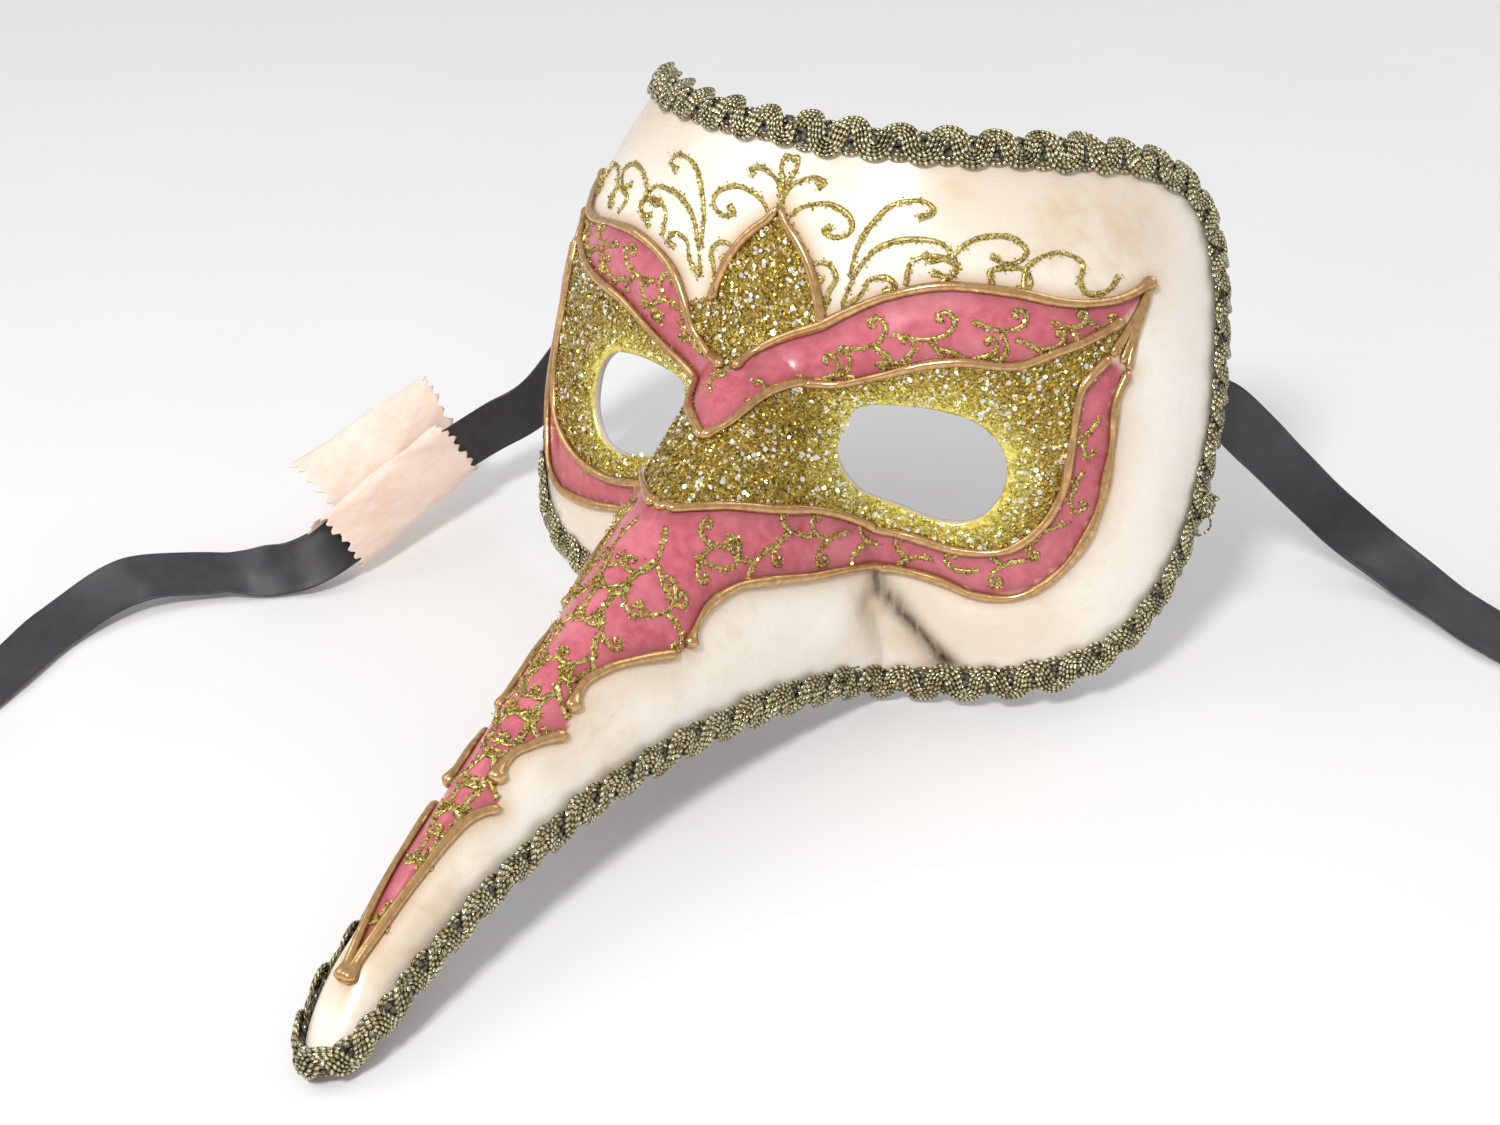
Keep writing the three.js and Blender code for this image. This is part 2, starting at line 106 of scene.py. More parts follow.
def surface_place(station, angle):
    """Distance across the face, level and forward push of points of the surface."""
    nose = np.clip(station / NOSE_LENGTH, 0, 1)
    face = np.clip((station - NOSE_LENGTH) / FACE_REACH, 0, 1)
    tip = np.sqrt(np.maximum(0, 1 - (1 - np.minimum(station / TIP_ROUND, 1)) ** 2))
    height = (SECTION_HEIGHT[0] + SECTION_HEIGHT[1] * nose) * tip + SECTION_HEIGHT[2] * face
    width = (SECTION_WIDTH[0] + SECTION_WIDTH[1] * nose ** 2) * tip + SECTION_WIDTH[2] * face
    power = SECTION_POWER[0] + SECTION_POWER[1] * face ** 1.5
    sine = np.maximum(np.abs(np.sin(angle)), 1e-6)
    cosine = np.maximum(np.abs(np.cos(angle)), 1e-6)
    scale = (sine ** power + cosine ** power) ** (-1 / power)
    across = np.minimum(width * sine * scale / HALF_SPREAD, 1)
    on_nose = NOSE_ARCH * nose * (1 - nose) * tip - ROOT_SAG * nose ** 2
    arch = np.where(station < NOSE_LENGTH, on_nose, -ROOT_SAG * (1 - face) ** 2)
    given = 1 - CREST_KEPT * (1 - nose) ** 3
    rise = arch + height * cosine * scale * (1 - given * arch / np.maximum(height, 1e-6))
    edge = LOWER_EDGE + EDGE_CLIMB * (1 - (1 - across ** EDGE_POWER) ** (1 / EDGE_POWER))
    push = np.logaddexp(0, (NOSE_LENGTH - station) / ROOT_BLEND) * ROOT_BLEND
    return across * np.sign(angle), edge + rise * (FACE_TOP - edge) / FACE_HEIGHT, push


def face_point(across, z, push):
    level = z / LEVEL_UNIT
    half = WRAP_HALF[0] + WRAP_HALF[1] * level + WRAP_HALF[2] * level ** 2
    depth = WRAP_DEPTH[0] + WRAP_DEPTH[1] * level
    front = np.where(z > 0, z * (FOREHEAD_LEAN[0] + FOREHEAD_LEAN[1] * level), CHEEK_LEAN * z)
    turn = np.abs(across) * QUARTER
    sine = np.sin(turn)
    cosine = np.maximum(np.cos(turn), 0)
    wrap = (sine ** WRAP_POWER + cosine ** WRAP_POWER) ** (-1 / WRAP_POWER)
    x = half * sine * wrap * np.sign(across)
    y = front + depth * (1 - cosine * wrap) - push
    return np.stack([x, y, z - NOSE_DROOP * push], -1)


def smooth_surface(station, angle):
    """Points and outward normals of the plain moulding, for arrays of the same shape."""
    station = np.asarray(station, float)
    angle = np.asarray(angle, float)
    across, z, push = surface_place(station, angle)
    side = np.where(angle < 0, -1.0, 1.0)
    wide = np.minimum(np.abs(across) + 0.003, 1) * side
    narrow = np.maximum(np.abs(across) - 0.003, 0) * side
    sideways = (face_point(wide, z, push) - face_point(narrow, z, push)) * side[..., None]
    upwards = face_point(across, z + 0.1, push) - face_point(across, z - 0.1, push)
    turn = 0.002
    middle = np.clip(angle, turn - QUARTER, QUARTER - turn)

    def spot(s, a):
        return face_point(*surface_place(s, a))

    along = spot(station + 0.02, angle) - spot(np.maximum(station - 0.02, 0.01), angle)
    round_ridge = spot(station, middle + turn) - spot(station, middle - turn)
    on_face = (station > NOSE_LENGTH + 25)[..., None]
    normal = np.where(on_face, np.cross(sideways, upwards), np.cross(round_ridge, along))
    return face_point(across, z, push), unit(normal)


def nearest_square(point, spots):
    """Squared distance from each point to the nearest of the spots."""
    nearest = np.full(point.shape[:-1], 1e9)
    for spot in spots:
        nearest = np.minimum(nearest, ((point - spot) ** 2).sum(-1))
    return nearest


def folded(point):
    """The points, all mirrored to the +X side."""
    return np.concatenate([np.abs(point[..., :1]), point[..., 1:]], -1)


# Swellings and hollows of the moulding: a line of stations and angles, height and width in mm.
RELIEFS = [
    ([(132, 9), (145, 15), (156, 22), (166, 28)], 1.5, 6.0),
    ([(170, 30), (182, 36), (191, 42)], 0.9, 6.0),
    ([(143, 74), (150, 80), (158, 87)], -2.4, 3.2),
    ([(134, 76), (142, 84)], 1.2, 7.0),
    ([(162, 79), (172, 82)], 1.2, 8.0),
    ([(150, 42), (160, 48), (168, 56)], -1.2, 9.0),
]


def moulded(station, angle):
    """Points and normals of the finished outside, with its swellings and hollows."""
    point, normal = smooth_surface(station, angle)
    lift = np.zeros(point.shape[:-1])
    for line, height, width in RELIEFS:
        middle = on_surface(smooth_surface, spline(line, 12))[0]
        lift += height * np.exp(-nearest_square(folded(point), middle) / width ** 2)
    return point + normal * lift[..., None], normal


def on_surface(surface, places):
    """Points and normals of a surface at rows of station and angle in degrees."""
    return surface(places[:, 0], np.radians(places[:, 1]))


def spline(points, per_span):
    """Centripetal smooth curve through the points, per_span samples for each span."""
    points = np.asarray(points, float)
    p = np.vstack([2 * points[0] - points[1], points, 2 * points[-1] - points[-2]])
    t = np.linspace(0, 1, per_span, endpoint=False)[:, None]
    spans = []
    for a, b, c, d in zip(p, p[1:], p[2:], p[3:]):
        before, here, after = (max(np.linalg.norm(w - v), 1e-9) ** 0.5 for v, w in ((a, b), (b, c), (c, d)))
        leave = ((b - a) / before - (c - a) / (before + here) + (c - b) / here) * here
        arrive = ((c - b) / here - (d - b) / (here + after) + (d - c) / after) * here
        spans.append(b + leave * t + (3 * (c - b) - 2 * leave - arrive) * t ** 2
                     + (2 * (b - c) + leave + arrive) * t ** 3)
    return np.vstack(spans + [points[-1:]])


def stand(points):
    """From the face frame to the standing frame, in mm."""
    c, s = math.cos(-REST_TILT), math.sin(-REST_TILT)
    return points @ np.array([[1, 0, 0], [0, c, s], [0, -s, c]]) + (0, REST_BACK, REST_LIFT)


def stand_direction(vectors):
    return stand(vectors) - (0, REST_BACK, REST_LIFT)


# ---- mesh helpers

def make_object(name, points, faces, material, attributes=None, smooth=True):
    mesh = bpy.data.meshes.new(name)
    mesh.from_pydata((np.asarray(points) * MM).tolist(), [], faces)
    for key, values in (attributes or {}).items():
        layer = mesh.attributes.new(key, "FLOAT", "POINT")
        layer.data.foreach_set("value", np.asarray(values, np.float32))
    mesh.materials.append(material)
    if smooth:
        mesh.shade_smooth()
    mesh.validate()
    obj = bpy.data.objects.new(name, mesh)
    bpy.context.scene.collection.objects.link(obj)
    return obj


def fix_normals(obj):
    mesh = bmesh.new()
    mesh.from_mesh(obj.data)
    bmesh.ops.recalc_face_normals(mesh, faces=mesh.faces)
    mesh.to_mesh(obj.data)
    mesh.free()


def sheet_faces(rows, wide):
    """Faces of a closed sheet: an outer and an inner grid of points, joined round the edge."""
    size = rows * wide
    faces = []
    for r in range(rows - 1):
        for c in range(wide - 1):
            a = r * wide + c
            faces.append((a, a + 1, a + wide + 1, a + wide))
            faces.append((size + a, size + a + wide, size + a + wide + 1, size + a + 1))
        for a, b in ((r * wide, (r + 1) * wide), ((r + 2) * wide - 1, (r + 1) * wide - 1)):
            faces.append((a, b, size + b, size + a))
    last = (rows - 1) * wide
    for c in range(wide - 1):
        faces.append((c + 1, c, size + c, size + c + 1))
        faces.append((last + c, last + c + 1, size + last + c + 1, size + last + c))
    return faces


def run_length(points):
    """Length along a path at each of its points."""
    return np.r_[0, np.cumsum(np.linalg.norm(np.diff(points, axis=0), axis=1))]


def tube(path, normals, radius, sides=8, flat=1.0):
    """Rings round a path. radius may vary along it. Returns points, faces and ring attributes."""
    path = np.asarray(path, float)
    count = len(path)
    forward = unit(np.gradient(path, axis=0))
    up = unit(normals - forward * (normals * forward).sum(1, keepdims=True))
    across = np.cross(forward, up)
    turn = np.arange(sides) * 2 * math.pi / sides
    radius = np.broadcast_to(radius, (count,))[:, None, None]
    ring = (np.cos(turn)[None, :, None] * across[:, None]
            + np.sin(turn)[None, :, None] * up[:, None] * flat)
    points = (path[:, None] + ring * radius).reshape(-1, 3)
    faces = []
    for r in range(count - 1):
        s = (r + 1) * sides
        for k in range(sides):
            n = (k + 1) % sides
            faces.append((r * sides + k, r * sides + n, s + n, s + k))
    faces.append(tuple(range(sides - 1, -1, -1)))
    faces.append(tuple(range((count - 1) * sides, count * sides)))
    return points, faces, {"run": np.repeat(run_length(path), sides), "crest": np.tile(np.sin(turn), count),
                           "girth": np.tile(turn, count)}


def joined(parts):
    """Several (points, faces, attributes) as one."""
    points, faces, attributes, shift = [], [], {}, 0
    for p, f, a in parts:
        points.append(p)
        faces += [tuple(i + shift for i in face) for face in f]
        for key, values in a.items():
            attributes.setdefault(key, []).append(values)
        shift += len(p)
    return np.vstack(points), faces, {k: np.concatenate(v) for k, v in attributes.items()}


def evenly(path, step):
    """Resample rows of a path at an even step of their first three columns."""
    length = run_length(path[:, :3])
    count = max(3, int(round(length[-1] / step)))
    want = np.linspace(0, length[-1], count + 1)
    return np.stack([np.interp(want, length, path[:, k]) for k in range(path.shape[1])], -1)


# ---- materials

class Look:
    """One material, and the shader nodes that are added to it."""

    def __init__(self, name, colour, roughness, metallic=0.0):
        self.material = bpy.data.materials.new(name)
        self.material.use_nodes = True
        self.tree = self.material.node_tree
        self.shader = self.tree.nodes["Principled BSDF"]
        self.set("Base Color", (*colour, 1))
        self.set("Roughness", roughness)
        self.set("Metallic", metallic)

    def fill(self, socket, value):
        """A field is linked to the socket, and anything else is set on it."""
        if isinstance(value, Field):
            self.tree.links.new(value.socket, socket)
        else:
            socket.default_value = value

    def set(self, name, value):
        self.fill(self.shader.inputs[name], value)

    def node(self, kind, inputs=None, **settings):
        made = self.tree.nodes.new(kind)
        for key, value in settings.items():
            setattr(made, key, value)
        for key, value in (inputs or {}).items():
            self.fill(made.inputs[key], value)
        return made

    def attribute(self, name):
        return Field(self, self.node("ShaderNodeAttribute", attribute_name=name).outputs["Fac"])

    def place(self, scale=(1, 1, 1), turn=(0, 0, 0)):
        """Object coordinates in mm, scaled and turned."""
        coordinates = Field(self, self.node("ShaderNodeTexCoord").outputs["Object"])
        mapping = self.node("ShaderNodeMapping", {"Vector": coordinates, "Rotation": turn,
                                                  "Scale": [share / MM for share in scale]})
        return Field(self, mapping.outputs["Vector"])

    def noise(self, fineness, detail=3.0, roughness=0.55, distortion=0.0, **mapping):
        made = self.node("ShaderNodeTexNoise", {
            "Scale": fineness, "Detail": detail, "Roughness": roughness, "Distortion": distortion,
            "Vector": self.place(**mapping)})
        return Field(self, made.outputs["Fac"])

    def cells(self, scale):
        """Three random numbers for each small cell."""
        made = self.node("ShaderNodeTexVoronoi", {"Scale": scale, "Vector": self.place()}, feature="F1")
        parts = self.node("ShaderNodeSeparateColor", {"Color": Field(self, made.outputs["Color"])})
        return [Field(self, parts.outputs[name]) for name in ("Red", "Green", "Blue")]

    def bump(self, height, distance, strength=1.0):
        made = self.node("ShaderNodeBump", {
            "Strength": strength, "Distance": distance * MM, "Height": height})
        self.set("Normal", Field(self, made.outputs["Normal"]))


class Field:
    """A number or a colour that shader nodes work out."""

    def __init__(self, look, socket):
        self.look = look
        self.socket = socket

    def maths(self, how, other=0.5):
        made = self.look.node("ShaderNodeMath", {0: self, 1: other}, operation=how)
        return Field(self.look, made.outputs["Value"])

    def __add__(self, other):
        return self.maths("ADD", other)

    def __mul__(self, other):
        return self.maths("MULTIPLY", other)

    def steps(self, low, high, to_low=0.0, to_high=1.0):
        """Mapped from low..high to to_low..to_high, and held at both ends."""
        made = self.look.node("ShaderNodeMapRange", {
            "Value": self, "From Min": low, "From Max": high, "To Min": to_low, "To Max": to_high})
        return Field(self.look, made.outputs["Result"])

    def blend(self, first, second):
        """Mix of two colours: the first where this is 0, the second where it is 1."""
        colours = [(*value, 1) if isinstance(value, tuple) else value for value in (first, second)]
        # Inputs 6 and 7 and output 2 are the node's colour sockets.
        made = self.look.node("ShaderNodeMix", {"Factor": self, 6: colours[0], 7: colours[1]},
                              data_type="RGBA")
        return Field(self.look, made.outputs[2])


def shell_material():
    look = Look("ivory_paint", (0.85, 0.8, 0.7), 0.3)
    pink, gold, lemon, antique, crease, inside = (
        look.attribute(name) for name in ("pink", "gold", "lemon", "antique", "crease", "inside"))
    cloud = look.noise(1.0, scale=(0.035, 0.035, 0.035))
    brush = look.noise(0.5, 5.0, 0.6, 0.6, scale=(0.05, 0.5, 0.5), turn=(0.3, 0.2, 0.5))
    ivory = cloud.steps(0.35, 0.7).blend((0.88, 0.835, 0.755), (0.83, 0.755, 0.64))
    ivory = (brush * cloud).steps(0.28, 0.44, 0.0, 0.35).blend(ivory, (0.62, 0.45, 0.27))
    ivory = antique.blend(ivory, (0.50, 0.28, 0.10))
    # Painted shade: the fold under the eye is darkened nearly to black, and noise breaks the dark line up.
    shade_break = look.noise(1.4, 4.0, scale=(0.6, 0.6, 0.12)).steps(0.35, 0.75)
    ivory = (crease * shade_break.steps(0.0, 0.6, 0.6, 1.0)).blend(ivory, (0.06, 0.035, 0.02))
    rose = look.noise(0.5, 4.0).steps(0.3, 0.7).blend((0.46, 0.075, 0.115), (0.62, 0.145, 0.19))
    rose = (look.noise(0.09, 2.0).steps(0.45, 0.7) * 0.4).blend(rose, (0.78, 0.27, 0.32))
    rose = (antique * 0.75).blend(rose, (0.20, 0.05, 0.035))
    tone, shine, relief = look.cells(1.9)
    light = tone.steps(0.1, 0.9)
    glitter = lemon.blend(light.blend((0.21, 0.125, 0.02), (0.58, 0.42, 0.08)),
                          light.blend((0.68, 0.54, 0.07), (0.96, 0.86, 0.26)))
    pulp = look.noise(0.12, 5.0).steps(0.35, 0.7).blend((0.70, 0.64, 0.64), (0.58, 0.51, 0.50))
    look.set("Base Color", inside.blend(gold.blend(pink.blend(ivory, rose), glitter), pulp))
    look.set("Roughness", brush.steps(0.3, 0.7, 0.22, 0.36) + inside * 0.45 + pink * 0.03)
    look.set("Metallic", gold * shine.steps(0.2, 0.8, 0.3, 0.9))
    look.set("Coat Weight", 0.35)
    look.set("Coat Roughness", 0.12)
    look.bump(gold * relief * 0.6 + inside * look.noise(0.5, 5.0) + brush * 0.18, 0.5, 0.7)
    return look.material


def relief_material():
    look = Look("gold_relief", (0.72, 0.5, 0.25), 0.3, 0.85)
    worn = look.noise(0.7, 4.0)
    gold = worn.steps(0.35, 0.7).blend((0.70, 0.44, 0.20), (0.46, 0.26, 0.11))
    # Painted shade: the lower flanks of each bead, where it meets the shell, are darkened to brown, broken up
    # by noise.
    low = look.attribute("crest").steps(-0.5, 0.45, 0.95, 0.0)
    brown = low * look.noise(0.25, 3.0).steps(0.3, 0.6, 0.35, 1.0)
    look.set("Base Color", brown.blend(gold, (0.12, 0.06, 0.02)))
    look.set("Roughness", worn.steps(0.3, 0.75, 0.13, 0.30))
    look.bump(look.noise(0.7, 2.0), 0.2, 0.35)
    return look.material


def braid_material(name, light, pale, dark, metallic):
    look = Look(name, light, 0.34, metallic)
    ply = (look.attribute("run") * 5.5 + look.attribute("girth")).maths("SINE")
    shade = look.noise(0.9, 2.0).steps(0.35, 0.65).blend(light, pale)
    # Painted shade: the grooves between the twisted plies are darkened.
    shade = ply.steps(-1.0, 0.2).blend(dark, shade)
    patch = look.noise(0.3, 3.0).steps(0.5, 0.7, 0.0, 0.7)
    look.set("Base Color", patch.blend(shade, dark))
    look.set("Roughness", look.noise(1.5, 2.0).steps(0.3, 0.7, 0.08, 0.34))
    look.bump(ply, 0.10, 0.8)
    return look.material


def glitter_material():
    look = Look("glitter", (0.8, 0.68, 0.25), 0.25, 0.9)
    tone = look.attribute("tone")
    gold = tone.steps(0.0, 0.8).blend((0.30, 0.19, 0.025), (0.78, 0.58, 0.12))
    gold = look.attribute("lemon").blend(gold, tone.blend((0.70, 0.56, 0.07), (0.98, 0.90, 0.30)))
    grit = look.noise(1.6, 2.0)
    gold = (grit * 0.35).blend(gold, (0.35, 0.28, 0.05))
    # Painted glint: flakes with the highest tone, all the big ones among them, are coloured near white.
    look.set("Base Color", tone.steps(0.955, 0.965).blend(gold, (1.0, 0.98, 0.88)))
    look.set("Roughness", grit.steps(0.3, 0.7, 0.14, 0.34))
    return look.material


def scroll_material():
    look = Look("glitter_line", (0.5, 0.42, 0.12), 0.4, 0.6)
    tone, relief, _ = look.cells(3.2)
    look.set("Base Color", tone.steps(0.1, 0.9).blend((0.16, 0.10, 0.02), (0.80, 0.68, 0.26)))
    look.bump(relief, 0.3, 1.0)
    return look.material


def ribbon_material():
    look = Look("black_satin", (0.012, 0.011, 0.014), 0.32)
    weft = (look.attribute("run") * 16.0).maths("SINE")
    warp = (look.attribute("across") * 30.0).maths("SINE")
    slub = look.noise(0.25, 3.0)
    look.set("Base Color", slub.blend((0.006, 0.006, 0.008), (0.032, 0.030, 0.036)))
    look.set("Roughness", slub.steps(0.3, 0.7, 0.30, 0.42))
    look.set("Specular IOR Level", 0.75)
    look.set("Sheen Weight", 0.25)
    look.set("Sheen Roughness", 0.35)
    look.bump(weft * 0.5 + warp * 0.25, 0.06, 0.5)
    return look.material


def paper_material():
    look = Look("peach_paper", (0.93, 0.74, 0.62), 0.62)
    fibre = look.noise(0.9, 5.0, scale=(1, 0.25, 1))
    colour = fibre.steps(0.3, 0.7).blend((0.95, 0.78, 0.68), (0.87, 0.66, 0.54))
    look.set("Base Color", look.noise(0.08, 3.0).steps(0.45, 0.7, 0.0, 0.5).blend(colour, (0.98, 0.86, 0.78)))
    look.set("Subsurface Weight", 0.1)
    look.set("Subsurface Radius", (0.001, 0.0006, 0.0004))
    look.bump(fibre, 0.12, 0.5)
    return look.material


def felt_material():
    look = Look("pad_felt", (0.8, 0.75, 0.68), 0.95)
    fuzz = look.noise(2.2, 6.0, 0.7)
    look.set("Base Color", fuzz.blend((0.86, 0.81, 0.74), (0.66, 0.6, 0.52)))
    look.set("Sheen Weight", 0.4)
    look.bump(fuzz, 0.4, 0.9)
    return look.material


def floor_material():
    look = Look("floor", (0.84, 0.84, 0.85), 0.8)
    look.set("Base Color", look.noise(0.012, 2.0).blend((0.80, 0.80, 0.81), (0.84, 0.84, 0.85)))
    return look.material


# ---- camera

def make_camera():
    azimuth, elevation, roll = map(math.radians, (CAMERA_AZIMUTH, CAMERA_ELEVATION, CAMERA_ROLL))
    back = Vector((math.sin(azimuth) * math.cos(elevation), -math.cos(azimuth) * math.cos(elevation),
                   math.sin(elevation)))
    level = Vector((math.cos(azimuth), math.sin(azimuth), 0))
    upright = back.cross(level)
    right = level * math.cos(roll) + upright * math.sin(roll)
    up = back.cross(right)
    turn = Matrix((right, up, back)).transposed().to_4x4()
    data = bpy.data.cameras.new("camera")
    data.lens = CAMERA_LENS
    data.sensor_width = 36.0
    data.clip_start = 0.01
    camera = bpy.data.objects.new("camera", data)
    camera.matrix_world = Matrix.Translation(Vector(CAMERA_PLACE) * MM) @ turn
    bpy.context.scene.collection.objects.link(camera)
    bpy.context.scene.camera = camera


# ---- ribbons

# Routes in the standing frame: place, then the direction of the ribbon's width.
RIBBON_ROUTES = {
    "right": [
        (73.9, 84, 54, -0.18, 0, 1), (74.6, 96.5, 53.5, -0.17, 0, 1), (76, 104.5, 50.5, 0, 0, 1),
        (83, 111, 41, 0.3, 0.5, 0.85), (89, 122, 28, 0.35, 0.65, 0.63), (98, 132, 14, 0.35, 0.7, 0.6),
        (110, 134, 5.8, 0.3, 0.8, 0.45), (124, 128, 3, 0.3, 0.9, 0.3), (138, 120, 2.8, 0.3, 0.95, 0.25),
        (152, 114, 5, 0.2, 0.6, 0.75), (166, 111, 6.7, 0, 0, 1), (184, 111.3, 6.7, 0, 0, 1),
    ],
    "left": [
        (-73.9, 84, 54, 0.18, 0, 1), (-74.6, 96.5, 53.5, 0.17, 0, 1), (-76, 104.5, 51.5, 0, 0, 1),
        (-83, 103, 42, -0.3, -0.4, 0.9), (-87, 91, 30, -0.5, -0.2, 0.85), (-90, 79, 23, -0.4, 0, 0.9),
        (-95, 69, 20, -0.3, 0, 0.95), (-98, 57, 18, -0.3, -0.1, 0.95), (-101, 41, 15, -0.3, -0.1, 0.95),
        (-103, 24, 10.5, -0.4, 0, 0.9), (-109, 11, 7, -0.8, -0.3, 0.6), (-125, 4, 4.4, -0.4, 0.9, 0.3),
        (-139, -12, 6.5, -0.6, 0.5, 0.6), (-144, -30, 3.2, -0.95, 0.1, 0.3), (-141, -51, 2.6, -1, 0, 0.25),
        (-138, -66, 4.8, -0.6, 0, 0.7), (-139.2, -84, 6.7, 0, 0, 1),
    ],
}
# Coil centre, the angle at which the route joins the coil, and the way round.
RIBBON_COILS = {"right": ((188, 148), -QUARTER, 1), "left": ((-176, -88), 0.0, -1)}
COIL_START = 36.2
RIBBON_UPRIGHT = 6.7


def ribbon_route(label):
    """Rows of place and width direction, from the pad to the end of the coil."""
    points = np.array(RIBBON_ROUTES[label], float)
    centre = spline(points[:, :3], 24)
    share = np.linspace(0, len(points) - 1, len(centre))
    width = np.stack([np.interp(share, range(len(points)), points[:, k]) for k in (3, 4, 5)], -1)
    rows = np.hstack([centre, width])
    middle, start, way = RIBBON_COILS[label]
    turn = np.linspace(0, 5 * math.pi, 1200)
    radius = COIL_START - COIL_PITCH * turn / (2 * math.pi)
    spiral = np.stack([middle[0] + radius * np.cos(start + way * turn),
                       middle[1] + radius * np.sin(start + way * turn),
                       np.full(len(turn), RIBBON_UPRIGHT)], -1)
    rows = np.vstack([rows, np.hstack([spiral, np.tile([0.0, 0.0, 1.0], (len(turn), 1))])])
    return evenly(rows[run_length(rows[:, :3]) <= RIBBON_LENGTH], RIBBON_STEP)


def ribbon_frames(rows):
    centre = rows[:, :3]
    forward = unit(np.gradient(centre, axis=0))
    width = unit(rows[:, 3:] - forward * (rows[:, 3:] * forward).sum(1, keepdims=True))
    return centre, forward, width, np.cross(width, forward)


def make_ribbon(label, material):
    """A closed flat band with a thick woven edge on both sides and a slight flutter."""
    centre, _, width, flat = ribbon_frames(ribbon_route(label))
    shares = np.array([-1, -0.96, -0.88, -0.6, -0.3, 0, 0.3, 0.6, 0.88, 0.96, 1])
    half = np.array([0.12, 0.26, 0.16, 0.16, 0.16, 0.16, 0.16, 0.16, 0.16, 0.26, 0.12])
    run = run_length(centre)
    flutter = 0.28 * np.sin(run / 7.3)[:, None] * shares + 0.16 * np.sin(run / 3.1)[:, None] * shares ** 3
    rings = []
    for face, order in ((1, slice(None)), (-1, slice(None, None, -1))):
        lift = (half * face + flutter)[:, order]
        side = shares[order] * RIBBON_WIDTH / 2
        rings.append(centre[:, None] + width[:, None] * side[None, :, None] + flat[:, None] * lift[..., None])
    ring = np.concatenate(rings, 1)
    count, wide = ring.shape[:2]
    faces = []
    for r in range(count - 1):
        for k in range(wide):
            n = (k + 1) % wide
            faces.append((r * wide + k, r * wide + n, (r + 1) * wide + n, (r + 1) * wide + k))
    for r in (0, count - 1):
        for k in range(len(shares) - 1):
            quad = [r * wide + k, r * wide + k + 1, r * wide + wide - 2 - k, r * wide + wide - 1 - k]
            faces.append(tuple(quad if r else quad[::-1]))
    across = np.tile(np.concatenate([shares, shares[::-1]]) * RIBBON_WIDTH / 2, count)
    ribbon = make_object(f"satin_ribbon_{label}", ring.reshape(-1, 3), faces, material,
                         {"run": np.repeat(run, wide), "across": across})
    fix_normals(ribbon)
    return ribbon, centre


def add_ribbons():
    material = ribbon_material()
    for label in ("right", "left"):
        ribbon, centre = make_ribbon(label, material)
        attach(ribbon, "root")
        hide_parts(f"ribbon_{label}", f"ribbon_coil_{label}")
        path = (centre[::4] * MM).tolist()


# ---- tag

# Cut across the tag: over the ribbon, down the near side, round the fold, up the far leaf.
TAG_PROFILE = [(-1.6, 5.4), (-0.4, 7.2), (0.9, 7.8), (2.4, 7.0), (3.0, 4), (3.2, 0), (3.0, -4), (2.0, -7.2),
               (0, -8.4), (-2.2, -7.2), (-3.1, -3), (-3.7, 2), (-5.2, 7), (-7.8, 11), (-11, 14), (-14, 15)]
# The far leaf slid towards the mask when the strip was folded.
TAG_SKEW = 12.0


def make_tag():
    """A strip of paper folded over the lower edge of the left ribbon, with pinked ends."""
    rows = np.array(RIBBON_ROUTES["left"], float)
    centre, forward, width, flat = ribbon_frames(evenly(spline_rows(rows), 1.0))
    # It sits halfway between the route's points, counted by their order.
    place = spline(rows[:, :3], 24)[12 * (len(rows) - 1)]
    middle = int(np.argmin(((centre - place) ** 2).sum(1)))
    origin, ahead, up, out = centre[middle], forward[middle], width[middle], flat[middle]
    profile = spline(TAG_PROFILE, 5)
    count = len(profile)
    outer = np.zeros((TAG_COLUMNS, count, 3))
    for c, share in enumerate(np.linspace(-1, 1, TAG_COLUMNS)):
        for k, (aside, high) in enumerate(profile):
            pinked = abs(share) ** 20 * (0.9 * math.sin(1.9 * k) + 0.35 * math.sin(0.7 * k)) * np.sign(share)
            crinkle = 0.22 * math.sin(4.1 * share + 0.35 * k) + 0.1 * math.sin(11 * share + 0.9 * k)
            ripple = 0.3 * math.sin(5 * share + 0.2 * k)
            spread = 1 + 0.16 * share * (1 if aside < 0 else -1) * abs(high) / TAG_HALF
            slide = TAG_SKEW * (0.5 - k / (count - 1))
            outer[c, k] = (origin + ahead * (share * TAG_LENGTH / 2 + pinked + slide)
                           + up * (high + ripple) + out * (aside * spread + crinkle))
    thick = unit(np.cross(np.gradient(outer, axis=0), np.gradient(outer, axis=1))) * PAPER_HALF
    points = np.concatenate([(outer + thick).reshape(-1, 3), (outer - thick).reshape(-1, 3)])
    tag = make_object("folded_tag", points, sheet_faces(TAG_COLUMNS, count), paper_material())
    fix_normals(tag)
    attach(tag, "root")
    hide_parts("paper_tag")
    return tag


def spline_rows(rows):
    """A smooth curve through the places, and another through the width directions."""
    return np.hstack([spline(rows[:, :3], 24), spline(rows[:, 3:], 24)])


# ---- shell

